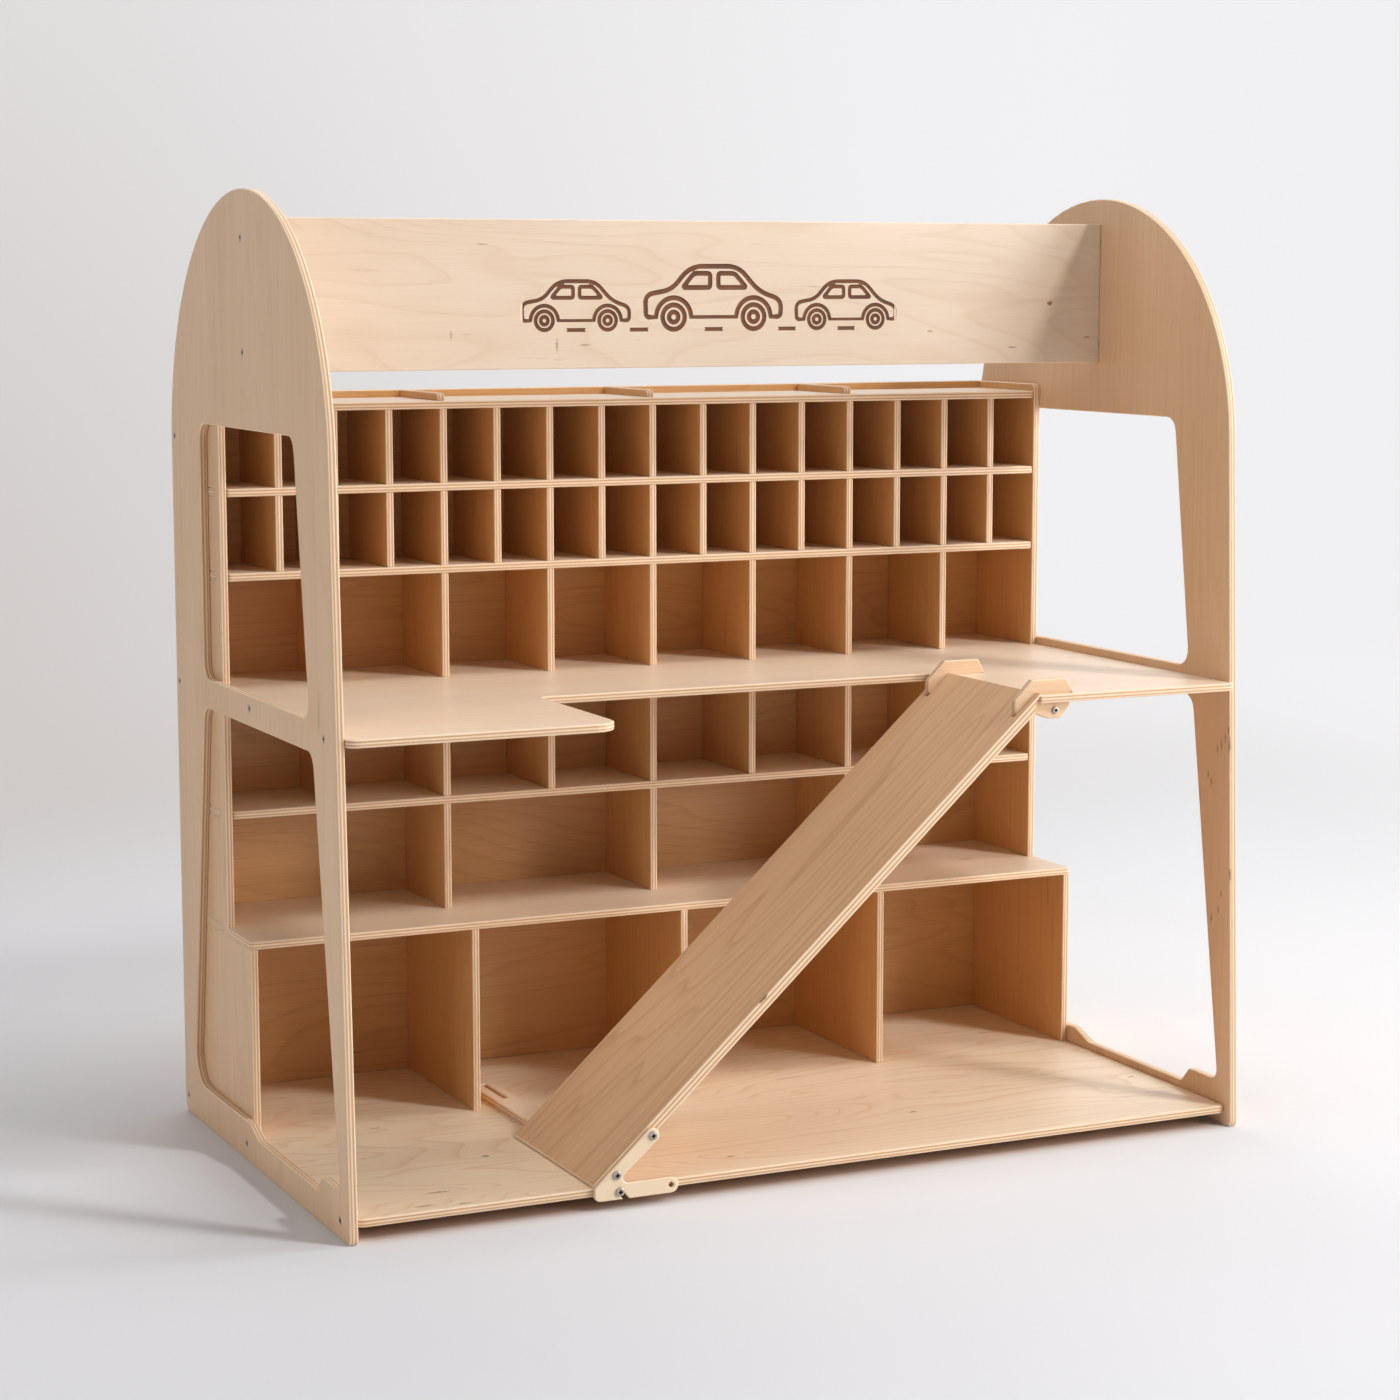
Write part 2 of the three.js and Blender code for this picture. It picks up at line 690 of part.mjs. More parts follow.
function addPivotBolt() {
  const [firstCheek, lastCheek] = cheekFronts;
  const seat = firstCheek - glueLine;
  const nutFace = lastCheek + ply + glueLine;
  const end = nutFace + boltNut.thickness + boltEnd;
  const bolt = turned([
    [0, seat - boltHead.thickness],
    [boltHead.radius - softEdge, seat - boltHead.thickness],
    [boltHead.radius, seat - boltHead.thickness + softEdge],
    [boltHead.radius, seat],
    [boltRadius, seat],
    [boltRadius, end],
    [0, end],
  ]);
  addMesh('pivot_bolt', bolt, steel).position.set(pivotX, 0, pivotZ);
  const hexagon = arcPoints(0, 0, boltNut.radius, 0, Math.PI * 2, nutSides).slice(1);
  const thread = arcPoints(0, 0, boltRadius + slideFit, 0, Math.PI * 2, roundSteps).slice(1);
  const nut = plateGeometry(hexagon, [thread], boltNut.thickness, boltNut.edge);
  nut.applyMatrix4(towardFront).translate(0, nutFace + boltNut.thickness, 0);
  addMesh('pivot_nut', nut, steel).position.set(pivotX, 0, pivotZ);
}

// World place on the ramp's front edge: distance up from the toe, depth below the top face
function onRampEdge(distance, below) {
  return new THREE.Vector2(
    toeX + distance * Math.cos(slope) + below * Math.sin(slope),
    baseTop + distance * Math.sin(slope) - below * Math.cos(slope),
  );
}

// Notch in the bracket's lower edge that lifts off the hook screw as the ramp swings
function hookNotch(bottom) {
  const hook = new THREE.Vector2(toeX + hookX, armZ);
  const away = new THREE.Vector2(pivotZ - hook.y, hook.x - pivotX).normalize();
  const across = new THREE.Vector2(-away.y, away.x);
  const half = footScrew.radius + slideFit;
  const start = across.angle() + Math.PI;
  const left = hook.clone().addScaledVector(across, -half);
  const right = hook.clone().addScaledVector(across, half);
  left.addScaledVector(away, (left.y - bottom) / -away.y);
  right.addScaledVector(away, (right.y - bottom) / -away.y);
  return [left, ...arcPoints(hook.x, hook.y, half, start, start - Math.PI, roundSteps), right];
}

// V-shaped bracket: one leg along the ramp's edge, one arm along the base's edge
function addFootBracket() {
  const bottom = armZ - foot.armRadius;
  const armTop = armZ + foot.armRadius;
  const armEnd = toeX + foot.armReach;
  const legEnd = onRampEdge(foot.legReach, legDepth);
  const innerDepth = legDepth + foot.legRadius;
  const elbowDistance = (armTop - baseTop + innerDepth * Math.cos(slope)) / Math.sin(slope);
  const elbow = onRampEdge(elbowDistance, innerDepth);
  const leftX = toeX + footCorner.inset;
  const edgeX = new THREE.Vector2(leftX, baseTop + (leftX - toeX) * Math.tan(slope) - foot.edgeGap);
  const legStart = onRampEdge(foot.legReach, foot.edgeGap);
  const points = [
    ...cornerPoints(edgeX, new THREE.Vector2(leftX, bottom), new THREE.Vector2(armEnd, bottom), footCorner.radius),
    ...hookNotch(bottom),
    ...arcPoints(armEnd, armZ, foot.armRadius, -Math.PI / 2, Math.PI / 2, roundSteps),
    ...cornerPoints(new THREE.Vector2(armEnd, armTop), elbow, legEnd, foot.fillet),
    ...arcPoints(legEnd.x, legEnd.y, foot.legRadius, slope - Math.PI / 2, slope + Math.PI / 2, roundSteps),
    ...cornerPoints(legStart, edgeX, new THREE.Vector2(leftX, bottom), easedCorner),
  ];
  const screwPlaces = legScrewPlaces.map((distance) => onRampEdge(distance, legDepth));
  const screwHoles = screwPlaces.map(({ x, y }) => {
    return arcPoints(x, y, footScrew.radius + slideFit, 0, Math.PI * 2, roundSteps).slice(1);
  });
  const lockHole = arcPoints(armEnd, armZ, lockHoleRadius, 0, Math.PI * 2, roundSteps).slice(1);
  const back = frontInset - slideFit;
  addFacing('foot_bracket', points, [...screwHoles, lockHole], bracketThickness, back, paleBirch);
  return screwPlaces;
}

function addFootScrews(screwPlaces) {
  const hook = new THREE.Vector2(toeX + hookX, armZ);
  const face = frontInset - slideFit - bracketThickness - slideFit;
  const screw = turned([
    [0, face - footScrew.headThickness],
    [footScrew.headRadius - softEdge, face - footScrew.headThickness],
    [footScrew.headRadius, face - footScrew.headThickness + softEdge],
    [footScrew.headRadius, face],
    [footScrew.radius, face],
    [footScrew.radius, face + footScrew.length],
    [0, face + footScrew.length + footScrew.radius],
  ]);
  const places = { foot_screw_upper: screwPlaces[0], foot_screw_lower: screwPlaces[1], hook_screw: hook };
  for (const [name, { x, y }] of Object.entries(places)) {
    addMesh(name, screw.clone(), steel).position.set(x, 0, y);
  }
}

addOuterSides();
addCaseSides();
addShelves();
addBase();
addBackPanel();
addSign();
addMainDividers();
addSmallDividers();
addRowDividers('upper_row', deckTop, shelf2Bottom);
addRowDividers('lower_row', shelf4Top, deckBottom);
addStopStrip();
addRampBoard();
addHingeBlocks();
addCheeks();
addPivotBolt();
addFootScrews(addFootBracket());

export default garage;
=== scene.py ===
# %% [markdown]
# # Toy parking garage in birch plywood
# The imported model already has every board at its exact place, so this lesson adds what
# the solids can't carry: the look of sanded birch, the layers in its cut edges, the
# engraved sign and the steel screws.

# %% Load the frame
import math

import bmesh
import bpy
from mathutils import Matrix, Vector


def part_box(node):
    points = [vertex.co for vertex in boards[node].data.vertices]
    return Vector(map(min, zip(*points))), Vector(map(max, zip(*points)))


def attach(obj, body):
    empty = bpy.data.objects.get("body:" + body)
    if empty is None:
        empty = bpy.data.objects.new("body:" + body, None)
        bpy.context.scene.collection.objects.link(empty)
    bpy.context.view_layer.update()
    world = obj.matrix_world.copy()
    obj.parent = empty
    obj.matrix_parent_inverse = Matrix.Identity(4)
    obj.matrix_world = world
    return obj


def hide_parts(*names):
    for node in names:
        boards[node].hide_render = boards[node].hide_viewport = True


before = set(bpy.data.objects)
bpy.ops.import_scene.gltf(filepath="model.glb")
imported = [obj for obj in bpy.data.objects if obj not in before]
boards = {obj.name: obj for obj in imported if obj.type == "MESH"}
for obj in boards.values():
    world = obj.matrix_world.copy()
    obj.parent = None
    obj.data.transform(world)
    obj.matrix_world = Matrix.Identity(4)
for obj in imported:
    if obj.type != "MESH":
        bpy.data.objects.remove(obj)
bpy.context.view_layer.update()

# %% [markdown]
# ## Camera
# The picture was taken from the front left, a little above the deck. A long lens keeps
# the boards nearly parallel. Its place comes from the edges of the boards: with enough
# known corners the distance, height and angle of a camera follow from their places in
# the picture. Setting the angles by numbers is the easiest way to repeat that view.

# %% Camera at the picture's place
CAMERA_PLACE = (-1.1247, -2.3823, 0.7144)
CAMERA_TURN = math.radians(-25.16)
CAMERA_TILT = math.radians(82.4)
LENS_MM = 80.76

lens = bpy.data.cameras.new("camera")
lens.lens = LENS_MM
camera = bpy.data.objects.new("camera", lens)
camera.location = CAMERA_PLACE
camera.rotation_euler = (CAMERA_TILT, 0, CAMERA_TURN)
bpy.context.scene.collection.objects.link(camera)
bpy.context.scene.camera = camera
bpy.context.scene.view_settings.view_transform = "Standard"
print("camera at", CAMERA_PLACE, "lens", LENS_MM, "mm")

# %% [markdown]
# ## Small helpers for node trees
# Every finish here is drawn by nodes, so a few short functions save much typing: one adds
# a node with its inputs filled, one does arithmetic, one makes a soft step between two
# values, and one mixes colours. A value given to them may be a number or another node's
# socket, and the helper works out which.

# %% Node helpers
def feed(tree, socket, value):
    if isinstance(value, bpy.types.NodeSocket):
        tree.links.new(value, socket)
    elif value is not None:
        socket.default_value = value


def add_node(tree, kind, inputs=None, **settings):
    made = tree.nodes.new(kind)
    for name, value in settings.items():
        setattr(made, name, value)
    for key, value in (inputs or {}).items():
        feed(tree, made.inputs[key], value)
    return made


def calculate(tree, operation, first, second=None, third=None, clamp=False):
    made = add_node(tree, "ShaderNodeMath", operation=operation, use_clamp=clamp)
    for socket, value in zip(made.inputs, (first, second, third)):
        feed(tree, socket, value)
    return made.outputs[0]


def soft_step(tree, value, low, high, start=0.0, end=1.0):
    inputs = {"Value": value, "From Min": low, "From Max": high, "To Min": start, "To Max": end}
    made = add_node(tree, "ShaderNodeMapRange", inputs, interpolation_type="SMOOTHSTEP")
    return made.outputs["Result"]


def blend_colours(tree, share, first, second, blend_type="MIX"):
    made = add_node(tree, "ShaderNodeMix", data_type="RGBA", blend_type=blend_type)
    feed(tree, made.inputs["Factor"], share)
    colours = [socket for socket in made.inputs if socket.type == "RGBA"]
    feed(tree, colours[0], first)
    feed(tree, colours[1], second)
    return next(socket for socket in made.outputs if socket.type == "RGBA")


def stretch(tree, place, scale, shift):
    inputs = {0: place, 1: scale, 2: shift}
    return add_node(tree, "ShaderNodeVectorMath", inputs, operation="MULTIPLY_ADD").outputs[0]


def noise(tree, place, detail=2.0, roughness=0.5, distortion=0.0):
    inputs = {"Vector": place, "Scale": 1.0, "Detail": detail, "Roughness": roughness}
    made = add_node(tree, "ShaderNodeTexNoise", {**inputs, "Distortion": distortion})
    return made.outputs[0]


print("node helpers ready")

# %% [markdown]
# ## Birch plywood
# Birch plywood is a stack of thin sheets peeled from a log and glued crosswise. Its face
# is one peeled sheet: pale, with fine fibres along the grain and wide wavy lines where the
# knife crossed the growth rings. Its cut edge shows the stack: sheets seen along their
# fibres look light, those seen from the end look brown, and a thin glue line parts them.
#
# A picture wrapped round a board can't get both right at its corners. A solid pattern can:
# each board gets a place of its own, in metres along the grain, across it, and up through
# its thickness, and one group of nodes answers with the colour at that place. The distance
# to the two faces tells the group whether it draws the face or the edge.

# %% Birch group: inputs and outputs
SRGB_POWER = 2.2


def paint(red, green, blue):
    """Colour as a screen shows it, 0 to 255, turned into Blender's linear values."""
    return tuple((part / 255) ** SRGB_POWER for part in (red, green, blue)) + (1.0,)


birch = bpy.data.node_groups.new("birch plywood", "ShaderNodeTree")
# Figure and Grain are the strengths of the growth rings and of the fibres. Outside is 1 or
# -1 where the face at the end or at the start of the stack is the outer, paler one, left
# without the painted shade of the cells.
GROUP_INPUTS = {"Place": "Vector", "Shift": "Vector", "Thickness": "Float", "Plies": "Float",
                "Figure": "Float", "Grain": "Float", "Light": "Color", "Dark": "Color",
                "Outside": "Float"}
GROUP_OUTPUTS = {"Color": "Color", "Roughness": "Float", "Normal": "Vector"}
for in_out, sockets in (("INPUT", GROUP_INPUTS), ("OUTPUT", GROUP_OUTPUTS)):
    for name, kind in sockets.items():
        birch.interface.new_socket(name, in_out=in_out, socket_type="NodeSocket" + kind)
group_in = add_node(birch, "NodeGroupInput").outputs
group_out = add_node(birch, "NodeGroupOutput")
print("birch group takes", list(GROUP_INPUTS))

# %% [markdown]
# ### The face of the board
# Five noises, each stretched along the grain, make the face. The widest one is cut into
# steps like the height lines of a map, which is just how a peeled sheet shows its growth
# rings. A cloud moves the tone slowly, and a very long and thin one gives the fibres. Two
# short ones, cut off high, leave the small dashes and the rare brown streaks of birch.
#
# In the picture the wood is deeper in colour inside the case than on its outer faces, as light
# bounced about in the cells is orange. The tone of the inside boards paints that shade in, and
# the group can multiply the colour of the outer face by a paler one to leave it out.

# %% Birch group: the face
# Scale along the grain, across it and through the board, then detail, roughness, distortion
WIDE_NOISE = ((1.9, 8.5, 90.0), 2.0, 0.4, 0.4)
FIBRE_NOISE = ((12.0, 620.0, 200.0), 3.0, 0.65)
CLOUD_NOISE = ((2.5, 11.0, 60.0), 3.0, 0.55)
DASH_NOISE = ((110.0, 1000.0, 70.0), 1.0)
STREAK_NOISE = ((14.0, 160.0, 50.0), 2.0, 0.6, 0.6)
RING_COUNT, RING_SHARPNESS, RING_FALL, RING_SHARE = 27.0, 6.0, (1.0, 0.9), 0.4
CLOUD_SHARE, CLOUD_BASE = 0.7, -0.12
DASH_LIMITS, DASH_SHARE = (0.64, 0.74), 0.12
STREAK_LIMITS, STREAK_SHARE, STREAK_BROWN = (0.71, 0.79), 0.55, paint(150, 104, 66)
# Outer faces lose the painted shade of the cells: their colour is multiplied by a paler one
OUTSIDE_LIMITS, OUTSIDE_UNSHADED = (0.2, 0.3), (1.10, 1.30, 1.90, 1.0)
HALF = 0.5

place, shift, thickness = group_in["Place"], group_in["Shift"], group_in["Thickness"]


def birch_noise(scale, *settings):
    return noise(birch, stretch(birch, place, scale, shift), *settings)


def compute(operation, *values, **settings):
    return calculate(birch, operation, *values, **settings)


ring = compute("FRACT", compute("MULTIPLY", birch_noise(*WIDE_NOISE), RING_COUNT))
ring_line = compute("MULTIPLY", compute("POWER", ring, RING_SHARPNESS), soft_step(birch, ring, *RING_FALL))
fibres = birch_noise(*FIBRE_NOISE)
dashes = soft_step(birch, birch_noise(*DASH_NOISE), *DASH_LIMITS)
streaks = soft_step(birch, birch_noise(*STREAK_NOISE), *STREAK_LIMITS)

ring_tone = compute("MULTIPLY", ring_line, compute("MULTIPLY", group_in["Figure"], RING_SHARE))
fibre_tone = compute("MULTIPLY", compute("SUBTRACT", fibres, HALF), group_in["Grain"])
tone = compute("MULTIPLY_ADD", birch_noise(*CLOUD_NOISE), CLOUD_SHARE, CLOUD_BASE)
tone = compute("ADD", tone, ring_tone)
tone = compute("ADD", tone, fibre_tone)
tone = compute("ADD", tone, compute("MULTIPLY", dashes, DASH_SHARE), clamp=True)
face_colour = blend_colours(birch, tone, group_in["Light"], group_in["Dark"])
streak_share = compute("MULTIPLY", streaks, STREAK_SHARE)
face_colour = blend_colours(birch, streak_share, face_colour, STREAK_BROWN)

height = add_node(birch, "ShaderNodeSeparateXYZ", {0: place}).outputs[2]
level = compute("DIVIDE", height, thickness)
from_middle = compute("SUBTRACT", level, HALF)
is_outside = soft_step(birch, compute("MULTIPLY", from_middle, group_in["Outside"]), *OUTSIDE_LIMITS)
paler = blend_colours(birch, 1.0, face_colour, OUTSIDE_UNSHADED, "MULTIPLY")
face_colour = blend_colours(birch, is_outside, face_colour, paler)
print("face drawn by", len(birch.nodes), "nodes so far")

# %% [markdown]
# ### The edge of the board
# The height in the stack, counted in sheets, goes through a sine: above zero is a light
# sheet, below zero a brown one, and near zero the glue. A little noise bends the sheets,
# because pressed veneers never lie quite flat.

# %% Birch group: the edge
PLY_LIGHT, PLY_BROWN, GLUE_BROWN = paint(240, 214, 184), paint(200, 156, 114), paint(146, 98, 60)
SWAY_NOISE, SWAY = ((7.0, 7.0, 0.0), 1.0), 0.03
LIGHT_LIMITS, GLUE_LIMITS, GLUE_SHARE = (-0.6, 0.0), (0.3, 0.0), 0.5
END_NOISE, END_LIMITS, END_SHARE = ((40.0, 40.0, 3500.0), 2.0, 0.6), (0.35, 0.75), 0.35

sway = compute("MULTIPLY_ADD", birch_noise(*SWAY_NOISE), SWAY, -SWAY / 2)
sheet = compute("MULTIPLY", compute("ADD", level, sway), group_in["Plies"])
wave = compute("SINE", compute("MULTIPLY", sheet, math.pi))
is_light = soft_step(birch, wave, *LIGHT_LIMITS)
edge_colour = blend_colours(birch, is_light, PLY_BROWN, PLY_LIGHT)
glue = soft_step(birch, compute("ABSOLUTE", wave), *GLUE_LIMITS, 0.0, GLUE_SHARE)
edge_colour = blend_colours(birch, glue, edge_colour, GLUE_BROWN)
fibre_shade = soft_step(birch, birch_noise(*END_NOISE), *END_LIMITS, 0.0, END_SHARE)
edge_colour = blend_colours(birch, fibre_shade, edge_colour, PLY_BROWN)
print("edge drawn, light sheet", [round(part, 2) for part in PLY_LIGHT[:3]])

# %% [markdown]
# ### Face or edge
# Only a face lies at the very bottom or top of the stack. So the smaller distance to the
# two is near zero on a face and more on every cut edge, also inside a slot. The finish is
# a thin satin oil: a little smoother on the face than on the open fibres of the edge.

# %% Birch group: put together
FACE_SKIN = (0.00006, 0.0003)
SHEET_RELIEF, BUMP_STRENGTH, BUMP_DISTANCE = 0.5, 0.35, 0.00012
FACE_ROUGHNESS, FIBRE_ROUGHNESS, EDGE_ROUGHNESS = 0.33, 0.14, 0.12

to_top = compute("SUBTRACT", thickness, height)
to_face = compute("MINIMUM", compute("ABSOLUTE", height), to_top)
on_edge = soft_step(birch, to_face, *FACE_SKIN)
colour = blend_colours(birch, on_edge, face_colour, edge_colour)
relief = compute("MULTIPLY", on_edge, compute("MULTIPLY", wave, SHEET_RELIEF))
relief = compute("ADD", relief, fibres)
bump = add_node(birch, "ShaderNodeBump",
                {"Strength": BUMP_STRENGTH, "Distance": BUMP_DISTANCE, "Height": relief})
shine = compute("MULTIPLY_ADD", fibres, FIBRE_ROUGHNESS, FACE_ROUGHNESS)
shine = compute("ADD", shine, compute("MULTIPLY", on_edge, EDGE_ROUGHNESS))
feed(birch, group_out.inputs["Color"], colour)
feed(birch, group_out.inputs["Roughness"], shine)
feed(birch, group_out.inputs["Normal"], bump.outputs[0])
print("birch group has", len(birch.nodes), "nodes")

# %% [markdown]
# ## A place for every board
# The group needs each board's own axes. A board of this case stands with its face to the
# side, faces the front, or lies level. Its box gives where the stack of sheets starts and
# how thick it is. The start is subtracted, and taking the place apart and joining it again
# swaps the axes. The ramp lies at a slope, so a Mapping node turns its place by that slope.

# %% Axes of the boards
# For each way to lie: the axis along the grain, across it, and through the sheets
WAYS = {
    "upright": (2, 1, 0),
    "facing": (0, 2, 1),
    "level": (0, 1, 2),
    "level_lengthwise": (1, 0, 2),
}
RAMP_RISE, RAMP_RUN = 0.365, 0.400
SLOPE = math.atan2(RAMP_RISE, RAMP_RUN)
PIVOT = Vector((0.2185, 0.0, 0.367))
RAMP_UNDERSIDE = 0.014245


def reorder(tree, vector, way):
    parts = add_node(tree, "ShaderNodeSeparateXYZ", {0: vector}).outputs
    axes = {key: parts[axis] for key, axis in zip("XYZ", WAYS[way])}
    return add_node(tree, "ShaderNodeCombineXYZ", axes).outputs[0]


def board_place(tree, way, start):
    """Socket with the place in the board's own axes, its sheets starting at 'start'."""
    object_place = add_node(tree, "ShaderNodeTexCoord").outputs["Object"]
    if way == "ramp":
        turned = add_node(tree, "ShaderNodeMapping", {"Vector": object_place})
        turned.inputs["Rotation"].default_value = (0, SLOPE, 0)
        turned.inputs["Location"].default_value = ramp_shift(start)
        return turned.outputs[0]
    moved = add_node(tree, "ShaderNodeVectorMath", {0: object_place}, operation="SUBTRACT")
    moved.inputs[1].default_value = [start if axis == WAYS[way][2] else 0.0 for axis in range(3)]
    return reorder(tree, moved.outputs[0], way)


def ramp_shift(start):
    turned_pivot = Matrix.Rotation(SLOPE, 3, "Y") @ PIVOT
    return (-turned_pivot.x, 0.0, -turned_pivot.z - start)


print("ramp slope", round(math.degrees(SLOPE), 2), "degrees")

# %% [markdown]
# ## One material for each board
# Boards of one sheet never look alike, so each gets a shift of its own into the pattern. The
# shift grows with the board's number in the sorted list, so every run gives the same wood.
#
# Knots and dark streaks are marked by hand: a mark is an oval of dark brown with a soft,
# wobbling rim, at a place that is given in the board's own axes. A place with only two
# numbers marks the board right through. A mark may also name how strong it is.

# %% Marks in the wood
KNOT_BROWN = paint(98, 64, 42)
WOBBLE_SCALE, WOBBLE_SHIFT, WOBBLE = (260.0, 700.0, 0.0), (3.0, 7.0, 0.0), 1.4
MARK_RIM, MARK_SHARE = (1.0, 0.35), 0.85


def add_mark(tree, place, colour, centre, size, share=MARK_SHARE):
    """Oval mark: centre and size along, across and through the board in metres.

    A mark given without its third number goes through all the sheets.
    """
    offset = add_node(tree, "ShaderNodeVectorMath", {0: place}, operation="SUBTRACT")
    offset.inputs[1].default_value = centre if len(centre) == 3 else (*centre, 0)
    scaled = add_node(tree, "ShaderNodeVectorMath", {0: offset.outputs[0]}, operation="MULTIPLY")
    shrinking = [1 / part for part in size]
    scaled.inputs[1].default_value = shrinking if len(size) == 3 else (*shrinking, 0)
    wobble = noise(tree, stretch(tree, place, WOBBLE_SCALE, WOBBLE_SHIFT))
    wobble = calculate(tree, "MULTIPLY_ADD", wobble, WOBBLE, -WOBBLE / 2)
    far = add_node(tree, "ShaderNodeVectorMath", {0: scaled.outputs[0]}, operation="LENGTH")
    edge = calculate(tree, "ADD", far.outputs["Value"], wobble)
    return blend_colours(tree, soft_step(tree, edge, *MARK_RIM, 0.0, share), colour, KNOT_BROWN)


print("marks are drawn in", [round(part, 3) for part in KNOT_BROWN[:3]])

# %% [markdown]
# A veneer has a light and a dark tone, and the pattern blends the two. The boards of the
# picture fall into a few kinds: the inside of the case is the warmest, partly from its wood and
# partly from painted shade for the light bounced about in the cells, and deck and base are the
# palest. The fibres are stronger on some kinds, and on the sides and the ramp the figure is
# longer, which comes from reading the pattern at a share of the real length.

# %% Board materials
TONES = {
    "birch": (paint(234, 212, 188), paint(208, 173, 140)),
    "floor": (paint(243, 223, 196), paint(217, 182, 145)),
    "sign": (paint(226, 206, 184), paint(200, 167, 135)),
    "side": (paint(229, 193, 156), paint(199, 154, 113)),
    # Painted shade: the tone of the inside boards is deepened for the light bounced about in the cells
    "warm_bounce_shade": (paint(219, 169, 113), paint(189, 134, 80)),
    "ramp": (paint(226, 188, 150), paint(192, 146, 105)),
    "pale": (paint(238, 216, 186), paint(220, 190, 152)),
}
# Strength of the fibres, and the share of the length at which the pattern is read along them
GRAINS = {"birch": (0.45, 1.0), "floor": (0.5, 1.0), "sign": (0.4, 1.0), "side": (0.7, 0.5),
          "warm_bounce_shade": (0.9, 0.7), "ramp": (1.2, 0.4), "pale": (0.3, 1.0)}
# Outer faces of inside boards, which are left without the painted shade of the cells
OUTSIDES = {"birch case_side_left": -1, "birch case_side_right": 1, "birch back_panel": 1}
SHIFT_STEP = (7.31, 3.77, 5.13)


def birch_material(name, way, start, thickness, look, marks, turn):
    """Material for one board; look holds its count of sheets, its tone and its figure."""
    plies, tone, figure = look
    strength, along = GRAINS[tone]
    material = bpy.data.materials.new(name)
    material.use_nodes = True
    tree = material.node_tree
    surface = tree.nodes["Principled BSDF"]
    place = board_place(tree, way, start)
    wood = add_node(tree, "ShaderNodeGroup", node_tree=birch)
    feed(tree, wood.inputs["Place"], stretch(tree, place, (along, 1, 1), (0, 0, 0)))
    settings = {"Shift": [step * (turn + 1) for step in SHIFT_STEP], "Thickness": thickness,
                "Plies": plies, "Figure": figure, "Grain": strength,
                "Light": TONES[tone][0], "Dark": TONES[tone][1], "Outside": OUTSIDES.get(name, 0)}
    for key, value in settings.items():
        wood.inputs[key].default_value = value
    colour = wood.outputs["Color"]
    for mark in marks:
        colour = add_mark(tree, place, colour, *mark)
    tree.links.new(colour, surface.inputs["Base Color"])
    tree.links.new(wood.outputs["Roughness"], surface.inputs["Roughness"])
    tree.links.new(wood.outputs["Normal"], surface.inputs["Normal"])
    return material


print("tones:", ", ".join(TONES))

# %% [markdown]
# ## Which board lies which way
# A short table says how each kind of board lies, which tone it has and how strong its wavy
# figure is. All the boards have five sheets, but for the thin foot bracket, which has three.
# The marks follow the picture: small knots in the base and the sign, a row of small ones in
# the front part of the right side, one in the left arch and one in the ramp's front edge.

# %% Finish all boards
# For each kind of board: how it lies, its count of sheets, its tone and its figure
FINISHES = {
    "outer_side": ("upright", 5, "side", 0.5),
    # The boards inside the case take the tone with painted shade for the bounced light
    "case_side": ("upright", 5, "warm_bounce_shade", 0.7),
    "main_divider": ("upright", 5, "warm_bounce_shade", 0.7),
    "small_divider": ("upright", 5, "warm_bounce_shade", 0.6),
    "upper_row_divider": ("upright", 5, "warm_bounce_shade", 0.7),
    "lower_row_divider": ("upright", 5, "warm_bounce_shade", 0.7),
    "back_panel": ("facing", 5, "warm_bounce_shade", 1.2),
    "sign_board": ("facing", 5, "sign", 0.9),
    "ramp_cheek": ("facing", 5, "side", 0.4),
    "foot_bracket": ("facing", 3, "pale", 0.2),
    "top_shelf": ("level", 5, "birch", 0.8),
    "shelf": ("level", 5, "birch", 0.8),
    "deck": ("level", 5, "birch", 0.6),
    "base_board": ("level", 5, "floor", 1.9),
    "stop_strip": ("level_lengthwise", 5, "birch", 0.4),
}
LEG_MARKS = [(0.3395, -0.2035, 0.005), (0.333, -0.199, 0.005), (0.326, -0.1935, 0.007),
             (0.322, -0.188, 0.005), (0.327, -0.205, 0.008), (0.298, -0.175, 0.005),
             (0.293, -0.180, 0.005), (0.2176, -0.210, 0.007), (0.1985, -0.198, 0.004),
             (0.185, -0.194, 0.005), (0.175, -0.184, 0.006)]
MARKS = {
    "base_board": [((0.3704, -0.0948), (0.004, 0.0016)), ((0.1385, -0.1163), (0.005, 0.0018)),
                   ((-0.0599, -0.1739), (0.006, 0.0016)), ((-0.238, -0.089), (0.0045, 0.0026)),
                   ((-0.290, 0.028), (0.006, 0.0013)), ((-0.308, -0.168), (0.013, 0.0026), 0.6),
                   ((-0.330, -0.198), (0.011, 0.0022), 0.6), ((-0.300, -0.204), (0.008, 0.002), 0.6)],
    "outer_side_right": [((z, y, 0.0), (length, 0.0013, 0.002), 0.6) for z, y, length in LEG_MARKS],
    "outer_side_left": [((0.7655, -0.0598, 0.007), (0.003, 0.005, 0.002))],
    "sign_board": [((0.3386, 0.695), (0.0035, 0.0024)), ((0.218, 0.6713), (0.004, 0.0011), 0.5),
                   ((0.3004, 0.6569), (0.006, 0.0012), 0.5), ((0.3773, 0.665), (0.005, 0.0012), 0.5),
                   ((-0.2234, 0.6712), (0.0015, 0.005), 0.35), ((-0.131, 0.6624), (0.0015, 0.007), 0.5),
                   ((-0.1061, 0.6622), (0.006, 0.0011), 0.5), ((-0.1959, 0.7439), (0.006, 0.001), 0.4)],
}


def finish_of(name):
    fitting = [key for key in FINISHES if name.startswith(key)]
    return FINISHES[max(fitting, key=len)] if fitting else None


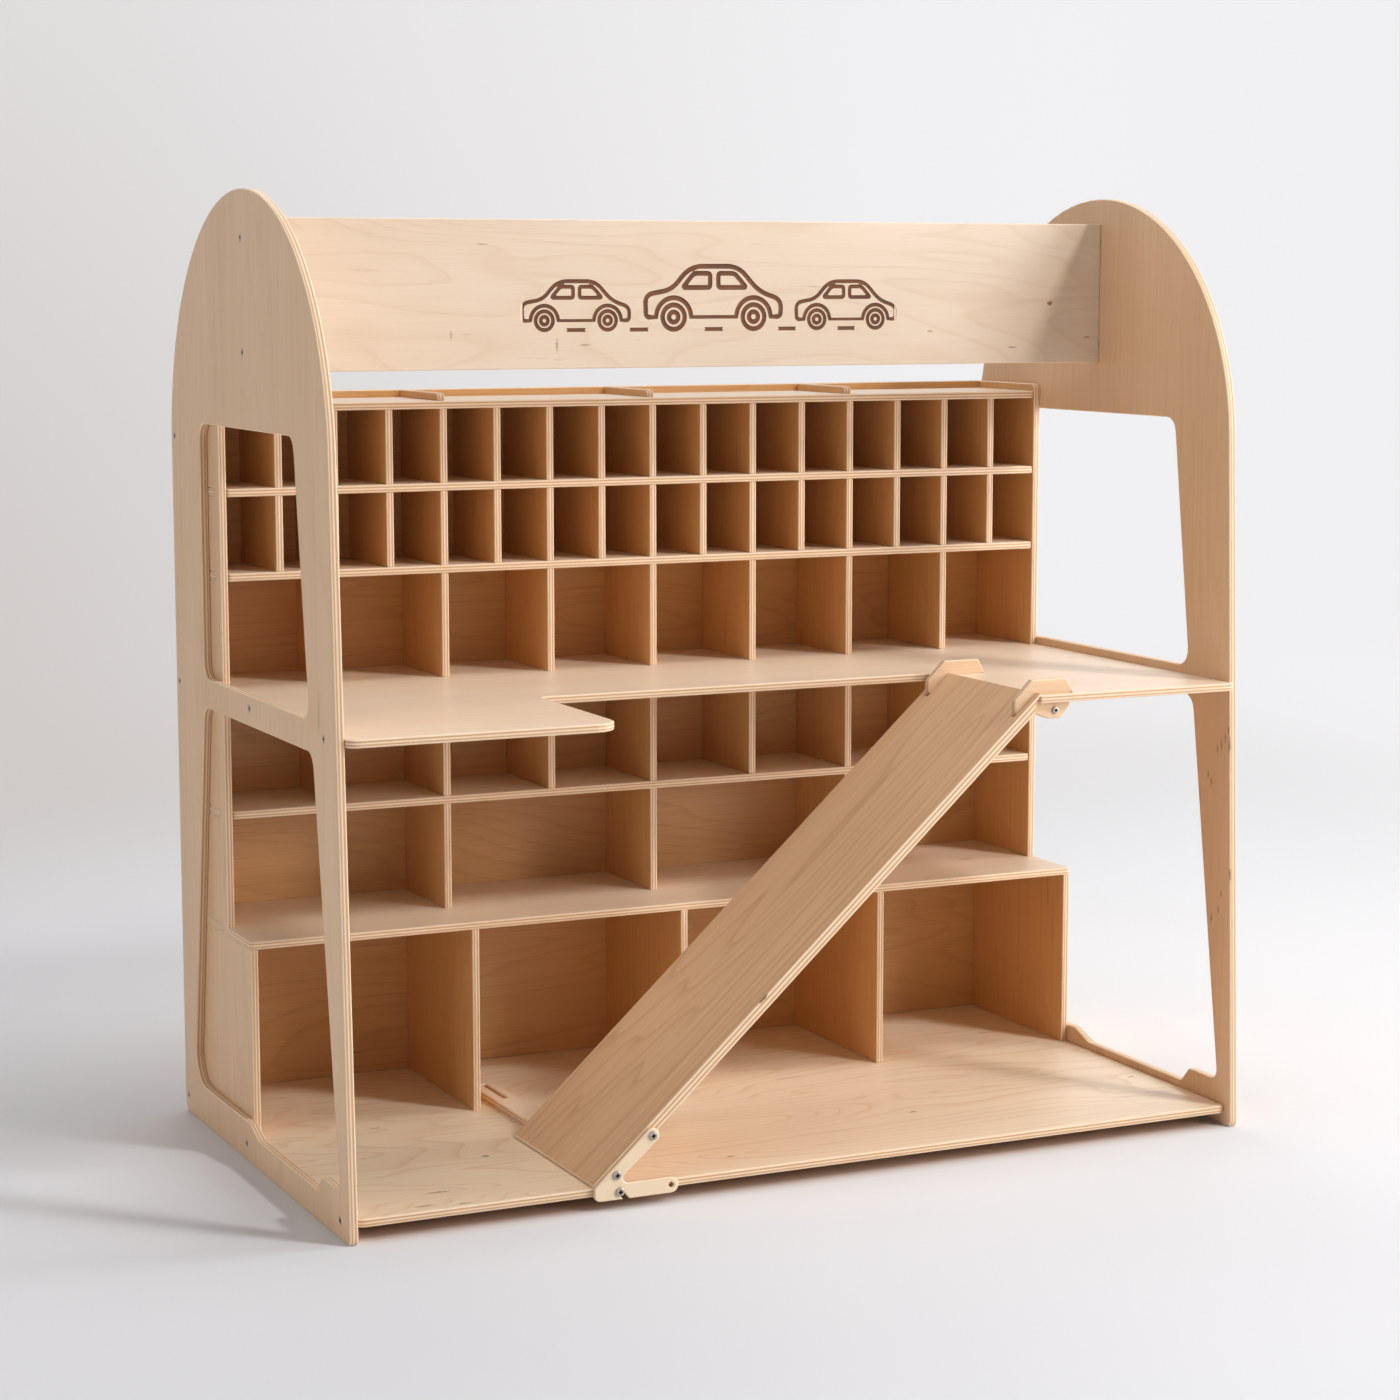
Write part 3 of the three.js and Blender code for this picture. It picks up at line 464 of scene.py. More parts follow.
finished_boards = []
for number, name in enumerate(sorted(boards)):
    finish = finish_of(name)
    if not finish:
        continue
    way, *look = finish
    low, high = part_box(name)
    through = WAYS[way][2]
    board_thickness = high[through] - low[through]
    marks = MARKS.get(name, ())
    boards[name].data.materials[0] = birch_material(
        f"birch {name}", way, low[through], board_thickness, look, marks, number)
    finished_boards.append(name)
print("boards finished:", len(finished_boards))

# %% [markdown]
# The ramp lies at a slope and its box says nothing of its thickness, so its numbers are
# given here. The two hinge blocks under it are thick: their thirteen sheets show that they
# are sawn from a heavier board.

# %% Finish the ramp and its hinge blocks
RAMP_THICKNESS, RAMP_LOOK, RAMP_TURN = 0.009, (5, "ramp", 1.9), 51
RAMP_MARKS = [((-0.342, -0.2105, 0.0088), (0.0075, 0.0014, 0.0022))]
# The hinge blocks take the tone with painted bounce shade too
BLOCK_THICKNESS, BLOCK_LOOK, BLOCK_TURN = 0.018, (13, "warm_bounce_shade", 0.3), 60

boards["ramp_board"].data.materials[0] = birch_material(
    "birch ramp", "ramp", RAMP_UNDERSIDE, RAMP_THICKNESS, RAMP_LOOK, RAMP_MARKS, RAMP_TURN)
for number, name in enumerate(("hinge_block_front", "hinge_block_rear")):
    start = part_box(name)[0].y
    boards[name].data.materials[0] = birch_material(
        f"birch {name}", "facing", start, BLOCK_THICKNESS, BLOCK_LOOK, (), BLOCK_TURN + number)
print("ramp finished, marks:", len(RAMP_MARKS))

# %% [markdown]
# ## The engraved sign
# The board between the arches carries an engraving: a laser burns a shallow groove with a
# dark brown floor. A painted line would look flat from the side, so the groove is really
# cut. Its motif is plain: three toy cars on a dashed road. Each line is a round bar, laid
# with its middle in the face of the board and squeezed, so that it takes away a wide and
# shallow groove when a Boolean modifier subtracts it. Bars that cross would confuse the
# Boolean, so a Remesh modifier first joins them all into one closed skin.
#
# The board itself starts as a cube primitive, is scaled and moved in edit mode to the place
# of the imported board, and gets its broken edges from a bevel of all edges.

# %% Sign: the board
SIGN_EDGE, SIGN_EDGE_STEPS = 0.0008, 3


def add_block(name, low, high):
    """Cube primitive brought to its size and place in edit mode, left there all selected."""
    bpy.ops.object.select_all(action="DESELECT")
    bpy.ops.mesh.primitive_cube_add(size=1)
    block = bpy.context.object
    block.name = name
    bpy.ops.object.mode_set(mode="EDIT")
    bpy.ops.mesh.select_all(action="SELECT")
    bpy.ops.transform.resize(value=high - low)
    bpy.ops.transform.translate(value=(low + high) / 2)
    return block


sign_low, sign_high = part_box("sign_board")
sign = add_block("engraved_sign", sign_low, sign_high)
bpy.ops.mesh.bevel(offset=SIGN_EDGE, segments=SIGN_EDGE_STEPS, affect="EDGES")
bpy.ops.object.mode_set(mode="OBJECT")
print("sign board", [round(part, 4) for part in sign_high - sign_low])

# %% [markdown]
# The lines of a car are a few corners with a radius each. The helper rounds them: it leaves
# the corner out and bridges the gap with a curve whose ends follow the two sides. The wheel
# arches are half circles, a little larger than the wheels under them.

# %% Sign: lines of the motif
CORNER_STEPS, ARCH_STEPS, WHEEL_STEPS = 6, 20, 32
WHEEL_RADIUS, ARCH_RADIUS, HUB_RADIUS = 12.0, 19.0, 5.0
WHEEL_PLACES, AXLE_HEIGHT = (-44.0, 44.0), -20.0
FULL_TURN, HALF_TURN = 360, 180


def rounded(corners):
    """Closed line through corners (x, z, radius), each one rounded."""
    line = []
    for number, (x, z, radius) in enumerate(corners):
        corner = Vector((x, z))
        if radius == 0:
            line.append(corner)
            continue
        before = Vector(corners[number - 1][:2])
        after = Vector(corners[(number + 1) % len(corners)][:2])
        start = corner + (before - corner).normalized() * radius
        end = corner + (after - corner).normalized() * radius
        for step in range(CORNER_STEPS + 1):
            share = step / CORNER_STEPS
            line.append(start.lerp(corner, share).lerp(corner.lerp(end, share), share))
    return line


def circle(x, z, radius, start=0, turn=FULL_TURN, steps=WHEEL_STEPS):
    angles = [math.radians(start + turn * step / steps) for step in range(steps + 1)]
    line = [Vector((x + radius * math.cos(angle), z + radius * math.sin(angle))) for angle in angles]
    return line[:-1] if abs(turn) == FULL_TURN else line


def wheel_arch(x):
    line = circle(x, AXLE_HEIGHT, ARCH_RADIUS, HALF_TURN, -HALF_TURN, ARCH_STEPS)
    return [(point.x, point.y, 0) for point in line]


def car_lines():
    """Closed lines of one car, in units that are about a millimetre on the middle car."""
    front_arch, rear_arch = map(wheel_arch, WHEEL_PLACES)
    sill_line = [(-74, AXLE_HEIGHT, 4), *front_arch, *rear_arch, (74, AXLE_HEIGHT, 4)]
    roof = [(75, -3, 9), (50, 5, 12), (27, 30, 12), (-26, 30, 14), (-46, 7, 10), (-75, 2, 9)]
    windows = [[(-34, 9, 3), (-22, 23, 4), (-4, 23, 3), (-4, 9, 3)],
               [(5, 9, 3), (5, 23, 3), (23, 23, 4), (36, 9, 3)]]
    wheels = [circle(x, AXLE_HEIGHT, radius)
              for x in WHEEL_PLACES for radius in (WHEEL_RADIUS, HUB_RADIUS)]
    return [rounded(sill_line + roof), *map(rounded, windows), *wheels]


print("lines in one car:", len(car_lines()))

# %% Sign: bars that cut the groove
MOTIF_CENTRE = Vector((0.011, 0.702))
UNITS_PER_METRE = 1000
# For each car: place on the road, scale of its lines and radius of its bars
CAR_PLACES = ((0.0, 0.84, 0.0021), (-0.125, 0.64, 0.0017), (0.125, 0.64, 0.0017))
ROAD_HEIGHT = -0.0275
ROAD_DASHES = (-0.125, -0.0685, 0.0, 0.0685, 0.125)
DASH_HALF, DASH_RADIUS, DASH_STEPS = 0.009, 0.0017, 6
BAR_ROUNDNESS = 4
QUARTER_TURN = math.radians(90)


def add_bar(curve, points, radius, closed, shares=None):
    bar = curve.splines.new("POLY")
    bar.points.add(len(points) - 1)
    for number, (target, point) in enumerate(zip(bar.points, points)):
        target.co = (MOTIF_CENTRE.x + point[0], 0, MOTIF_CENTRE.y + point[1], 1)
        target.radius = radius * (shares[number] if shares else 1)
    bar.use_cyclic_u = closed


def add_dash(curve, middle):
    """Straight bar with rounded ends."""
    turns = [QUARTER_TURN * (step + HALF) / DASH_STEPS for step in range(DASH_STEPS)]
    ends = [(DASH_RADIUS * (1 - math.sin(turn)), math.cos(QUARTER_TURN - turn)) for turn in turns]
    start, end = middle - DASH_HALF, middle + DASH_HALF
    points = [(start + into, ROAD_HEIGHT) for into, share in ends]
    points += [(end - into, ROAD_HEIGHT) for into, share in reversed(ends)]
    shares = [share for into, share in ends]
    add_bar(curve, points, DASH_RADIUS, False, shares + shares[::-1])


bars = bpy.data.curves.new("engraving_bars", "CURVE")
bars.dimensions = "3D"
bars.bevel_depth, bars.bevel_resolution, bars.use_fill_caps = 1.0, BAR_ROUNDNESS, True
for middle, scale, radius in CAR_PLACES:
    lift = ROAD_HEIGHT - (AXLE_HEIGHT - WHEEL_RADIUS) * scale / UNITS_PER_METRE
    for line in car_lines():
        points = [(middle + point.x * scale / UNITS_PER_METRE, lift + point.y * scale / UNITS_PER_METRE)
                  for point in line]
        add_bar(bars, points, radius, True)
for middle in ROAD_DASHES:
    add_dash(bars, middle)
print("bars:", len(bars.splines))

# %% Sign: cut the groove
MOTIF_HALF = Vector((0.172, 0.038))
GROOVE_SQUEEZE, GROOVE_SKIN, GROOVE_DEEPEST = 0.4, 0.00002, 0.0012
LARGE_FACE = 0.00005  # square metres; the flat parts of the board are larger
BAR_GRID = 0.0005
SMOOTH_ANGLE = math.radians(35)

cutter = bpy.data.objects.new("engraving_bars", bars)
bpy.context.scene.collection.objects.link(cutter)
bpy.ops.object.select_all(action="DESELECT")
cutter.select_set(True)
bpy.context.view_layer.objects.active = cutter
bpy.ops.object.convert(target="MESH")
joined = cutter.modifiers.new("joined", "REMESH")
joined.mode, joined.voxel_size = "VOXEL", BAR_GRID
bpy.ops.object.modifier_apply(modifier=joined.name)
bpy.ops.object.mode_set(mode="EDIT")
bpy.ops.mesh.select_all(action="SELECT")
bpy.ops.transform.resize(value=(1, GROOVE_SQUEEZE, 1), center_override=(0, 0, 0))
bpy.ops.transform.translate(value=(0, sign_low.y, 0))
bpy.ops.mesh.normals_make_consistent(inside=False)
bpy.ops.object.mode_set(mode="OBJECT")


def subtract(piece, tool):
    """Cut the tool out of the piece and throw the tool away."""
    cut = piece.modifiers.new("cut", "BOOLEAN")
    cut.operation, cut.solver, cut.object = "DIFFERENCE", "EXACT", tool
    bpy.ops.object.select_all(action="DESELECT")
    piece.select_set(True)
    bpy.context.view_layer.objects.active = piece
    bpy.ops.object.modifier_apply(modifier=cut.name)
    bpy.data.objects.remove(tool)


subtract(sign, cutter)
sign.data.materials.append(boards["sign_board"].data.materials[0])
sign.data.materials.append(bpy.data.materials.new("burnt engraving"))
groove_faces = 0
for face in sign.data.polygons:
    depth = face.center.y - sign_low.y
    across, up = face.center.x - MOTIF_CENTRE.x, face.center.z - MOTIF_CENTRE.y
    inside = abs(across) < MOTIF_HALF.x and abs(up) < MOTIF_HALF.y
    if inside and GROOVE_SKIN < depth < GROOVE_DEEPEST:
        face.material_index = 1
        groove_faces += 1
bpy.ops.object.shade_smooth_by_angle(angle=SMOOTH_ANGLE)
for face in sign.data.polygons:
    if face.area > LARGE_FACE:
        face.use_smooth = False
print("faces on the sign:", len(sign.data.polygons), "in the groove:", groove_faces)

# %% [markdown]
# ### Burnt wood
# A laser chars the wood unevenly: the soft early wood burns deeper than the hard fibres, so
# thin lighter lines along the grain stay in the brown. Two noises stretched along the grain
# give that, one fine and one slow, and the fine one also roughens the surface.

# %% Sign: finish
CHAR_LINES, CHAR_LINES_SHARE = ((60.0, 60.0, 900.0), (0, 0, 0)), 0.7
CHAR_CLOUD, CHAR_CLOUD_SHARE = ((30.0, 30.0, 60.0), (5, 0, 2)), 0.5
CHAR_DETAIL = (3.0, 0.6)
CHAR_LIMITS, CHAR_DARK, CHAR_PALE = (0.35, 0.85), paint(84, 48, 27), paint(124, 78, 47)
CHAR_ROUGHNESS = (0.3, 0.7, 0.6, 0.85)
CHAR_BUMP = {"Strength": 0.5, "Distance": 0.0002}

burnt = sign.data.materials[1]
burnt.use_nodes = True
burnt_tree = burnt.node_tree
burnt_surface = burnt_tree.nodes["Principled BSDF"]
burnt_place = add_node(burnt_tree, "ShaderNodeTexCoord").outputs["Object"]
char_lines = noise(burnt_tree, stretch(burnt_tree, burnt_place, *CHAR_LINES), *CHAR_DETAIL)
char_cloud = noise(burnt_tree, stretch(burnt_tree, burnt_place, *CHAR_CLOUD))
char_tone = calculate(burnt_tree, "ADD", calculate(burnt_tree, "MULTIPLY", char_lines, CHAR_LINES_SHARE),
                      calculate(burnt_tree, "MULTIPLY", char_cloud, CHAR_CLOUD_SHARE))
char_tone = soft_step(burnt_tree, char_tone, *CHAR_LIMITS)
feed(burnt_tree, burnt_surface.inputs["Base Color"],
     blend_colours(burnt_tree, char_tone, CHAR_DARK, CHAR_PALE))
feed(burnt_tree, burnt_surface.inputs["Roughness"], soft_step(burnt_tree, char_lines, *CHAR_ROUGHNESS))
char_bump = add_node(burnt_tree, "ShaderNodeBump", {**CHAR_BUMP, "Height": char_lines})
feed(burnt_tree, burnt_surface.inputs["Normal"], char_bump.outputs[0])

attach(sign, "case")
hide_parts("sign_board")
print("sign finished with", [material.name for material in sign.data.materials])

# %% [markdown]
# ## Screws and the pivot bolt
# The screws are bright zinc-plated steel. Zinc is not a mirror: it has a fine grain and
# faint scratches from the driver, which a small noise in the roughness shows. A recess in
# a head holds little light, so its shade is painted: a much darker steel inside it keeps it
# readable from afar.
#
# All screws here have a round head with a driver recess, so one helper turns a cylinder
# primitive into a head: the rim is bevelled, and a recess is cut with a smaller tool.

# %% Steel
ZINC_GRAINS, ZINC_GRAIN_LIMITS = ((2500.0,) * 3, (0, 0, 0)), (0.3, 0.7)
ZINC_SCRATCHES, ZINC_ROUGHNESS = ((600.0, 600.0, 5000.0), (1, 2, 3)), (0.3, 0.7, 0.34, 0.5)
ZINC_DETAIL = (2.0, 0.6)
ZINC_BUMP = {"Strength": 0.2, "Distance": 0.00005}


def steel_material(name, dull, bright):
    material = bpy.data.materials.new(name)
    material.use_nodes = True
    tree = material.node_tree
    surface = tree.nodes["Principled BSDF"]
    surface.inputs["Metallic"].default_value = 1.0
    place = add_node(tree, "ShaderNodeTexCoord").outputs["Object"]
    grains = noise(tree, stretch(tree, place, *ZINC_GRAINS), *ZINC_DETAIL)
    scratches = noise(tree, stretch(tree, place, *ZINC_SCRATCHES), *ZINC_DETAIL)
    brightness = soft_step(tree, grains, *ZINC_GRAIN_LIMITS)
    feed(tree, surface.inputs["Base Color"], blend_colours(tree, brightness, dull, bright))
    feed(tree, surface.inputs["Roughness"], soft_step(tree, scratches, *ZINC_ROUGHNESS))
    bump = add_node(tree, "ShaderNodeBump", {**ZINC_BUMP, "Height": grains})
    feed(tree, surface.inputs["Normal"], bump.outputs[0])
    return material


steel = steel_material("zinc plated steel", paint(158, 152, 144), paint(186, 180, 172))
# Painted shade: a dark steel for the faces inside a driver recess
recess_shade_steel = steel_material("steel painted with recess shade", paint(46, 40, 35), paint(66, 59, 52))
print("steel ready")

# %% Heads with a recess
SIDES, HEXAGON = 40, 6
RIM_STEPS = 3
RECESS_SKIN = 0.0001
CROSS_FLOOR_SHARE = 0.45  # width of a cross recess at its floor
FACING = 0.99             # least part of a normal along Y that counts as facing front or back


def turned_disc(name, radius, length, sides=SIDES):
    """Disc along Y whose front face lies at y = 0, left in edit mode with nothing selected."""
    bpy.ops.object.select_all(action="DESELECT")
    bpy.ops.mesh.primitive_cylinder_add(vertices=sides, radius=radius, depth=length,
                                        location=(0, length / 2, 0), rotation=(QUARTER_TURN, 0, 0))
    bpy.ops.object.transform_apply(location=True, rotation=True, scale=True)
    disc = bpy.context.object
    disc.name = name
    bpy.ops.object.mode_set(mode="EDIT")
    bpy.ops.mesh.select_all(action="DESELECT")
    return disc


def select_facing(piece, direction):
    """Select the one face whose normal points along Y in the given direction, farthest out."""
    edit = bmesh.from_edit_mesh(piece.data)
    facing = [face for face in edit.faces if face.normal.y * direction > FACING]
    chosen = max(facing, key=lambda face: face.calc_center_median().y * direction)
    for face in edit.faces:
        face.select_set(face == chosen)
    edit.select_flush_mode()
    bmesh.update_edit_mesh(piece.data)


def round_front(piece, width):
    select_facing(piece, -1)
    bpy.ops.mesh.bevel(offset=width, segments=RIM_STEPS, affect="EDGES")


def cut_hexagon(piece, radius, depth):
    tool = turned_disc("hexagon", radius, depth * 2, HEXAGON)
    bpy.ops.mesh.select_all(action="SELECT")
    bpy.ops.transform.translate(value=(0, -depth, 0))
    bpy.ops.object.mode_set(mode="OBJECT")
    subtract(piece, tool)


def cut_cross(piece, reach, width, depth):
    """Cross recess that narrows with its depth."""
    for along, across in ((reach, width), (width, reach)):
        tool = add_block("cross_bar", Vector((-along, -depth, -across)), Vector((along, depth, across)))
        select_facing(tool, 1)
        bpy.ops.transform.resize(value=(CROSS_FLOOR_SHARE, 1, CROSS_FLOOR_SHARE),
                                 center_override=(0, depth, 0))
        bpy.ops.object.mode_set(mode="OBJECT")
        subtract(piece, tool)


def extrude_end(piece, steps):
    """Stretch the rear face by steps of (length, scale)."""
    select_facing(piece, 1)
    for length, scale in steps:
        bpy.ops.mesh.extrude_region_move(TRANSFORM_OT_translate={"value": (0, length, 0)})
        bpy.ops.transform.resize(value=(scale, 1, scale), center_override=(0, 0, 0))


def place_copy(first, name, place, turn=0.0):
    """Copy with its own mesh, turned about Z and moved to its place."""
    copy = first.copy()
    copy.data = first.data.copy()
    copy.name = name
    bpy.context.scene.collection.objects.link(copy)
    copy.data.transform(Matrix.Translation(place) @ Matrix.Rotation(turn, 4, "Z"))
    return copy


def give_steel(piece, recess_radius=0.0, recess_depth=0.0):
    """Steel all over, and inside the driver recess a much darker steel as painted shade."""
    piece.data.materials.clear()
    piece.data.materials.append(steel)
    piece.data.materials.append(recess_shade_steel)
    for face in piece.data.polygons:
        from_axis = math.hypot(face.center.x, face.center.z)
        in_recess = RECESS_SKIN < face.center.y < recess_depth and from_axis < recess_radius
        face.material_index = 1 if in_recess else 0


def finish_steel(piece, body, *nodes):
    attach(piece, body)
    if nodes:
        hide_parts(*nodes)


print("screw helpers ready, sides of a round head:", SIDES)

# %% [markdown]
# ### Screws of the outer sides
# Nine screws hold each outer side: two into the sign board, two into the back panel, two
# into the deck and three into the base. Their flat heads sit in the drilled holes, just
# below the wood. One is modelled and the others are copies, turned to their side.

# %% Panel screws
PANEL_SCREW_RADIUS, PANEL_SCREW_LENGTH, PANEL_SCREW_RIM = 0.00315, 0.0058, 0.0003
PANEL_SCREW_SINK = 0.0003
PANEL_SOCKET = (0.0015, 0.0016)
PANEL_SCREW_PLACES = [(0.0120, 0.659), (0.0120, 0.748), (0.2105, 0.3765), (0.2105, 0.585),
                      (-0.175, 0.37725), (0.011, 0.37725), (-0.196, 0.01425), (0.041, 0.01425),
                      (0.2105, 0.01425)]

panel_screw = turned_disc("panel_screw", PANEL_SCREW_RADIUS, PANEL_SCREW_LENGTH)
round_front(panel_screw, PANEL_SCREW_RIM)
bpy.ops.object.mode_set(mode="OBJECT")
cut_hexagon(panel_screw, *PANEL_SOCKET)
give_steel(panel_screw, PANEL_SOCKET[0] + RECESS_SKIN, PANEL_SOCKET[1] + RECESS_SKIN)
bpy.ops.object.shade_smooth_by_angle(angle=SMOOTH_ANGLE)
outer_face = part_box("outer_side_right")[1].x - PANEL_SCREW_SINK
for side, turn, sign_x in (("left", -QUARTER_TURN, -1), ("right", QUARTER_TURN, 1)):
    for number, (y, z) in enumerate(PANEL_SCREW_PLACES):
        spot = Vector((sign_x * outer_face, y, z))
        screw = place_copy(panel_screw, f"panel_screw_{side}_{number + 1}", spot, turn)
        finish_steel(screw, "case")
bpy.data.objects.remove(panel_screw)
print("panel screws:", 2 * len(PANEL_SCREW_PLACES))

# %% [markdown]
# ### Screws of the foot
# Two screws fix the V-shaped foot to the front edge of the ramp, and a third one in the edge
# of the base holds its notch. They have a low domed head over a thinner shank with a point.
# The shank grows from the back of the head: the face is inset, then extruded twice.

# %% Foot screws
FOOT_HEAD, FOOT_HEAD_THICK, FOOT_SHANK, FOOT_LENGTH = 0.0035, 0.0015, 0.0018, 0.014
FOOT_RIM, FOOT_FLAT, FOOT_DISH_SLOPE, FOOT_DISH_DEPTH = 0.0007, 0.0004, 0.0002, 0.0003
FOOT_POINT_SHARE = 0.08
FOOT_CROSS, CROSS_CORNER_REACH = (0.0019, 0.0007, 0.0013), 1.1
FOOT_SCREWS = {"foot_screw_upper": "ramp", "foot_screw_lower": "ramp", "hook_screw": "case"}

foot_screw = turned_disc("foot_screw", FOOT_HEAD, FOOT_HEAD_THICK)
round_front(foot_screw, FOOT_RIM)
select_facing(foot_screw, -1)
bpy.ops.mesh.inset(thickness=FOOT_FLAT, depth=0)
bpy.ops.mesh.inset(thickness=FOOT_DISH_SLOPE, depth=-FOOT_DISH_DEPTH)
select_facing(foot_screw, 1)
bpy.ops.mesh.inset(thickness=FOOT_HEAD - FOOT_SHANK, depth=0)
extrude_end(foot_screw, [(FOOT_LENGTH, 1.0), (FOOT_SHANK, FOOT_POINT_SHARE)])
bpy.ops.object.mode_set(mode="OBJECT")
cut_cross(foot_screw, *FOOT_CROSS)
give_steel(foot_screw, FOOT_CROSS[0] * CROSS_CORNER_REACH, FOOT_CROSS[2] + RECESS_SKIN)
bpy.ops.object.shade_smooth_by_angle(angle=SMOOTH_ANGLE)
for node, body in FOOT_SCREWS.items():
    low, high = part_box(node)
    place = Vector(((low.x + high.x) / 2, low.y, (low.z + high.z) / 2))
    finish_steel(place_copy(foot_screw, f"{node}_detail", place), body, node)
bpy.data.objects.remove(foot_screw)
print("foot screws:", list(FOOT_SCREWS))

# %% [markdown]
# ### Pivot bolt and nut
# The ramp turns on a long bolt with a hexagon socket in its head. A round shank passes
# through both cheeks and the hinge blocks, and its last part carries a thread. Turned rings
# stand for the thread: an extrusion that narrows and widens again, repeated.

# %% Pivot bolt
BOLT_HEAD, BOLT_HEAD_THICK, BOLT_RIM, BOLT_RADIUS = 0.0028, 0.0018, 0.0006, 0.0015
BOLT_SOCKET = (0.0014, 0.0012)
THREAD_RINGS, THREAD_PITCH, THREAD_SHARE = 12, 0.0005, 0.86

bolt_low, bolt_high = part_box("pivot_bolt")
bolt_length = bolt_high.y - bolt_low.y - BOLT_HEAD_THICK
bolt = turned_disc("pivot_bolt_detail", BOLT_HEAD, BOLT_HEAD_THICK)
round_front(bolt, BOLT_RIM)
select_facing(bolt, 1)
bpy.ops.mesh.inset(thickness=BOLT_HEAD - BOLT_RADIUS, depth=0)
rings = [(THREAD_PITCH / 2, THREAD_SHARE), (THREAD_PITCH / 2, 1 / THREAD_SHARE)] * THREAD_RINGS
extrude_end(bolt, [(bolt_length - THREAD_RINGS * THREAD_PITCH, 1.0), *rings])
bpy.ops.object.mode_set(mode="OBJECT")
cut_hexagon(bolt, *BOLT_SOCKET)
give_steel(bolt, BOLT_SOCKET[0] + RECESS_SKIN, BOLT_SOCKET[1] + RECESS_SKIN)
bpy.ops.object.shade_smooth_by_angle(angle=SMOOTH_ANGLE)
bolt.data.transform(Matrix.Translation((PIVOT.x, bolt_low.y, PIVOT.z)))
finish_steel(bolt, "case", "pivot_bolt")
print("bolt length under the head:", round(bolt_length, 4))

# %% [markdown]
# The nut is a disc with six sides: all its edges are broken, and a bore is cut for the bolt,
# a little wider than the shank so that the two never touch.

# %% Pivot nut
NUT_RADIUS, NUT_HOLE, NUT_EDGE, NUT_EDGE_STEPS = 0.0032, 0.00162, 0.0003, 2
nut_low, nut_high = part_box("pivot_nut")
nut_length = nut_high.y - nut_low.y
nut = turned_disc("pivot_nut_detail", NUT_RADIUS, nut_length, HEXAGON)
bpy.ops.mesh.select_all(action="SELECT")
bpy.ops.mesh.bevel(offset=NUT_EDGE, segments=NUT_EDGE_STEPS, affect="EDGES")
bpy.ops.object.mode_set(mode="OBJECT")
bore = turned_disc("bore", NUT_HOLE, nut_length * 2)
bpy.ops.mesh.select_all(action="SELECT")
bpy.ops.transform.translate(value=(0, -nut_length / 2, 0))
bpy.ops.object.mode_set(mode="OBJECT")
subtract(nut, bore)
give_steel(nut)
bpy.ops.object.shade_smooth_by_angle(angle=SMOOTH_ANGLE)
nut.data.transform(Matrix.Translation((PIVOT.x, nut_low.y, PIVOT.z)))
finish_steel(nut, "case", "pivot_nut")
print("nut thickness:", round(nut_length, 4))

# %% [markdown]
# ## The studio
# A pale sheet of paper runs over the table and up behind the object in one curve, so no
# line shows where it turns. Seven soft round lamps stand about the object. The high one at
# the front right draws the shadows, the wide ones fill, and a dim white world gives the rest.

# %% Floor and backdrop
ROOM_HALF_WIDTH, ROOM_FRONT, WALL_AT, WALL_RISE = 5.0, -5.0, 2.6, 4.0
BEND, BEND_STEPS = 0.9, 16
EDGE_SKIN = 0.01

bpy.ops.object.select_all(action="DESELECT")
bpy.ops.mesh.primitive_plane_add(size=2, location=(0, 0, 0))
backdrop = bpy.context.object
backdrop.name = "backdrop"
bpy.ops.object.mode_set(mode="EDIT")
bpy.ops.mesh.select_all(action="SELECT")
bpy.ops.transform.resize(value=(ROOM_HALF_WIDTH, (WALL_AT - ROOM_FRONT) / 2, 1))
bpy.ops.transform.translate(value=(0, (WALL_AT + ROOM_FRONT) / 2, 0))
edit = bmesh.from_edit_mesh(backdrop.data)
for vertex in edit.verts:
    vertex.select = vertex.co.y > WALL_AT - EDGE_SKIN
edit.select_flush_mode()
for step in range(BEND_STEPS):
    angle = QUARTER_TURN * (step + HALF) / BEND_STEPS
    stretch_by = BEND * QUARTER_TURN / BEND_STEPS
    move = (0, stretch_by * math.cos(angle), stretch_by * math.sin(angle))
    bpy.ops.mesh.extrude_region_move(TRANSFORM_OT_translate={"value": move})
bpy.ops.mesh.extrude_region_move(TRANSFORM_OT_translate={"value": (0, 0, WALL_RISE)})
bpy.ops.object.mode_set(mode="OBJECT")
bpy.ops.object.shade_smooth()

PAPER_ROUGHNESS, PAPER_SHEEN = 0.95, 0.1
paper = bpy.data.materials.new("studio paper")
paper.use_nodes = True
paper_surface = paper.node_tree.nodes["Principled BSDF"]
paper_surface.inputs["Roughness"].default_value = PAPER_ROUGHNESS
paper_surface.inputs["Specular IOR Level"].default_value = PAPER_SHEEN
backdrop.data.materials.append(paper)
print("backdrop has", len(backdrop.data.polygons), "faces")

# %% [markdown]
# The wall of the picture grows lighter to the right. More lamps there would also light the
# object, so the paper itself is lifted instead: only rays from the camera, and those that
# metal or glass send on, see a share of plain colour that grows with the distance and
# towards the right. Where the shadow of the object falls the share is zero.
#
# Under the front of the base the paper gets a painted shadow: for the same rays only, a strip
# there is painted darker and browner, as a shadow looks where light comes back off the wood.

# %% Lift of the wall
FAR_LIFT, RIGHT_LIFT, LIFT_SHARE = (0.7, 2.1), (0.9, 2.0), 0.9
# Painted shade and light on the wall: darker low on the left, lighter higher up and to the right
LOW_LEFT, HIGH_LEFT, LEFT_RISE = paint(203, 197, 194), paint(223, 222, 220), (0.1, 1.8)
WALL_RIGHT, WALL_TURN = paint(246, 245, 247), (-0.6, 2.6)


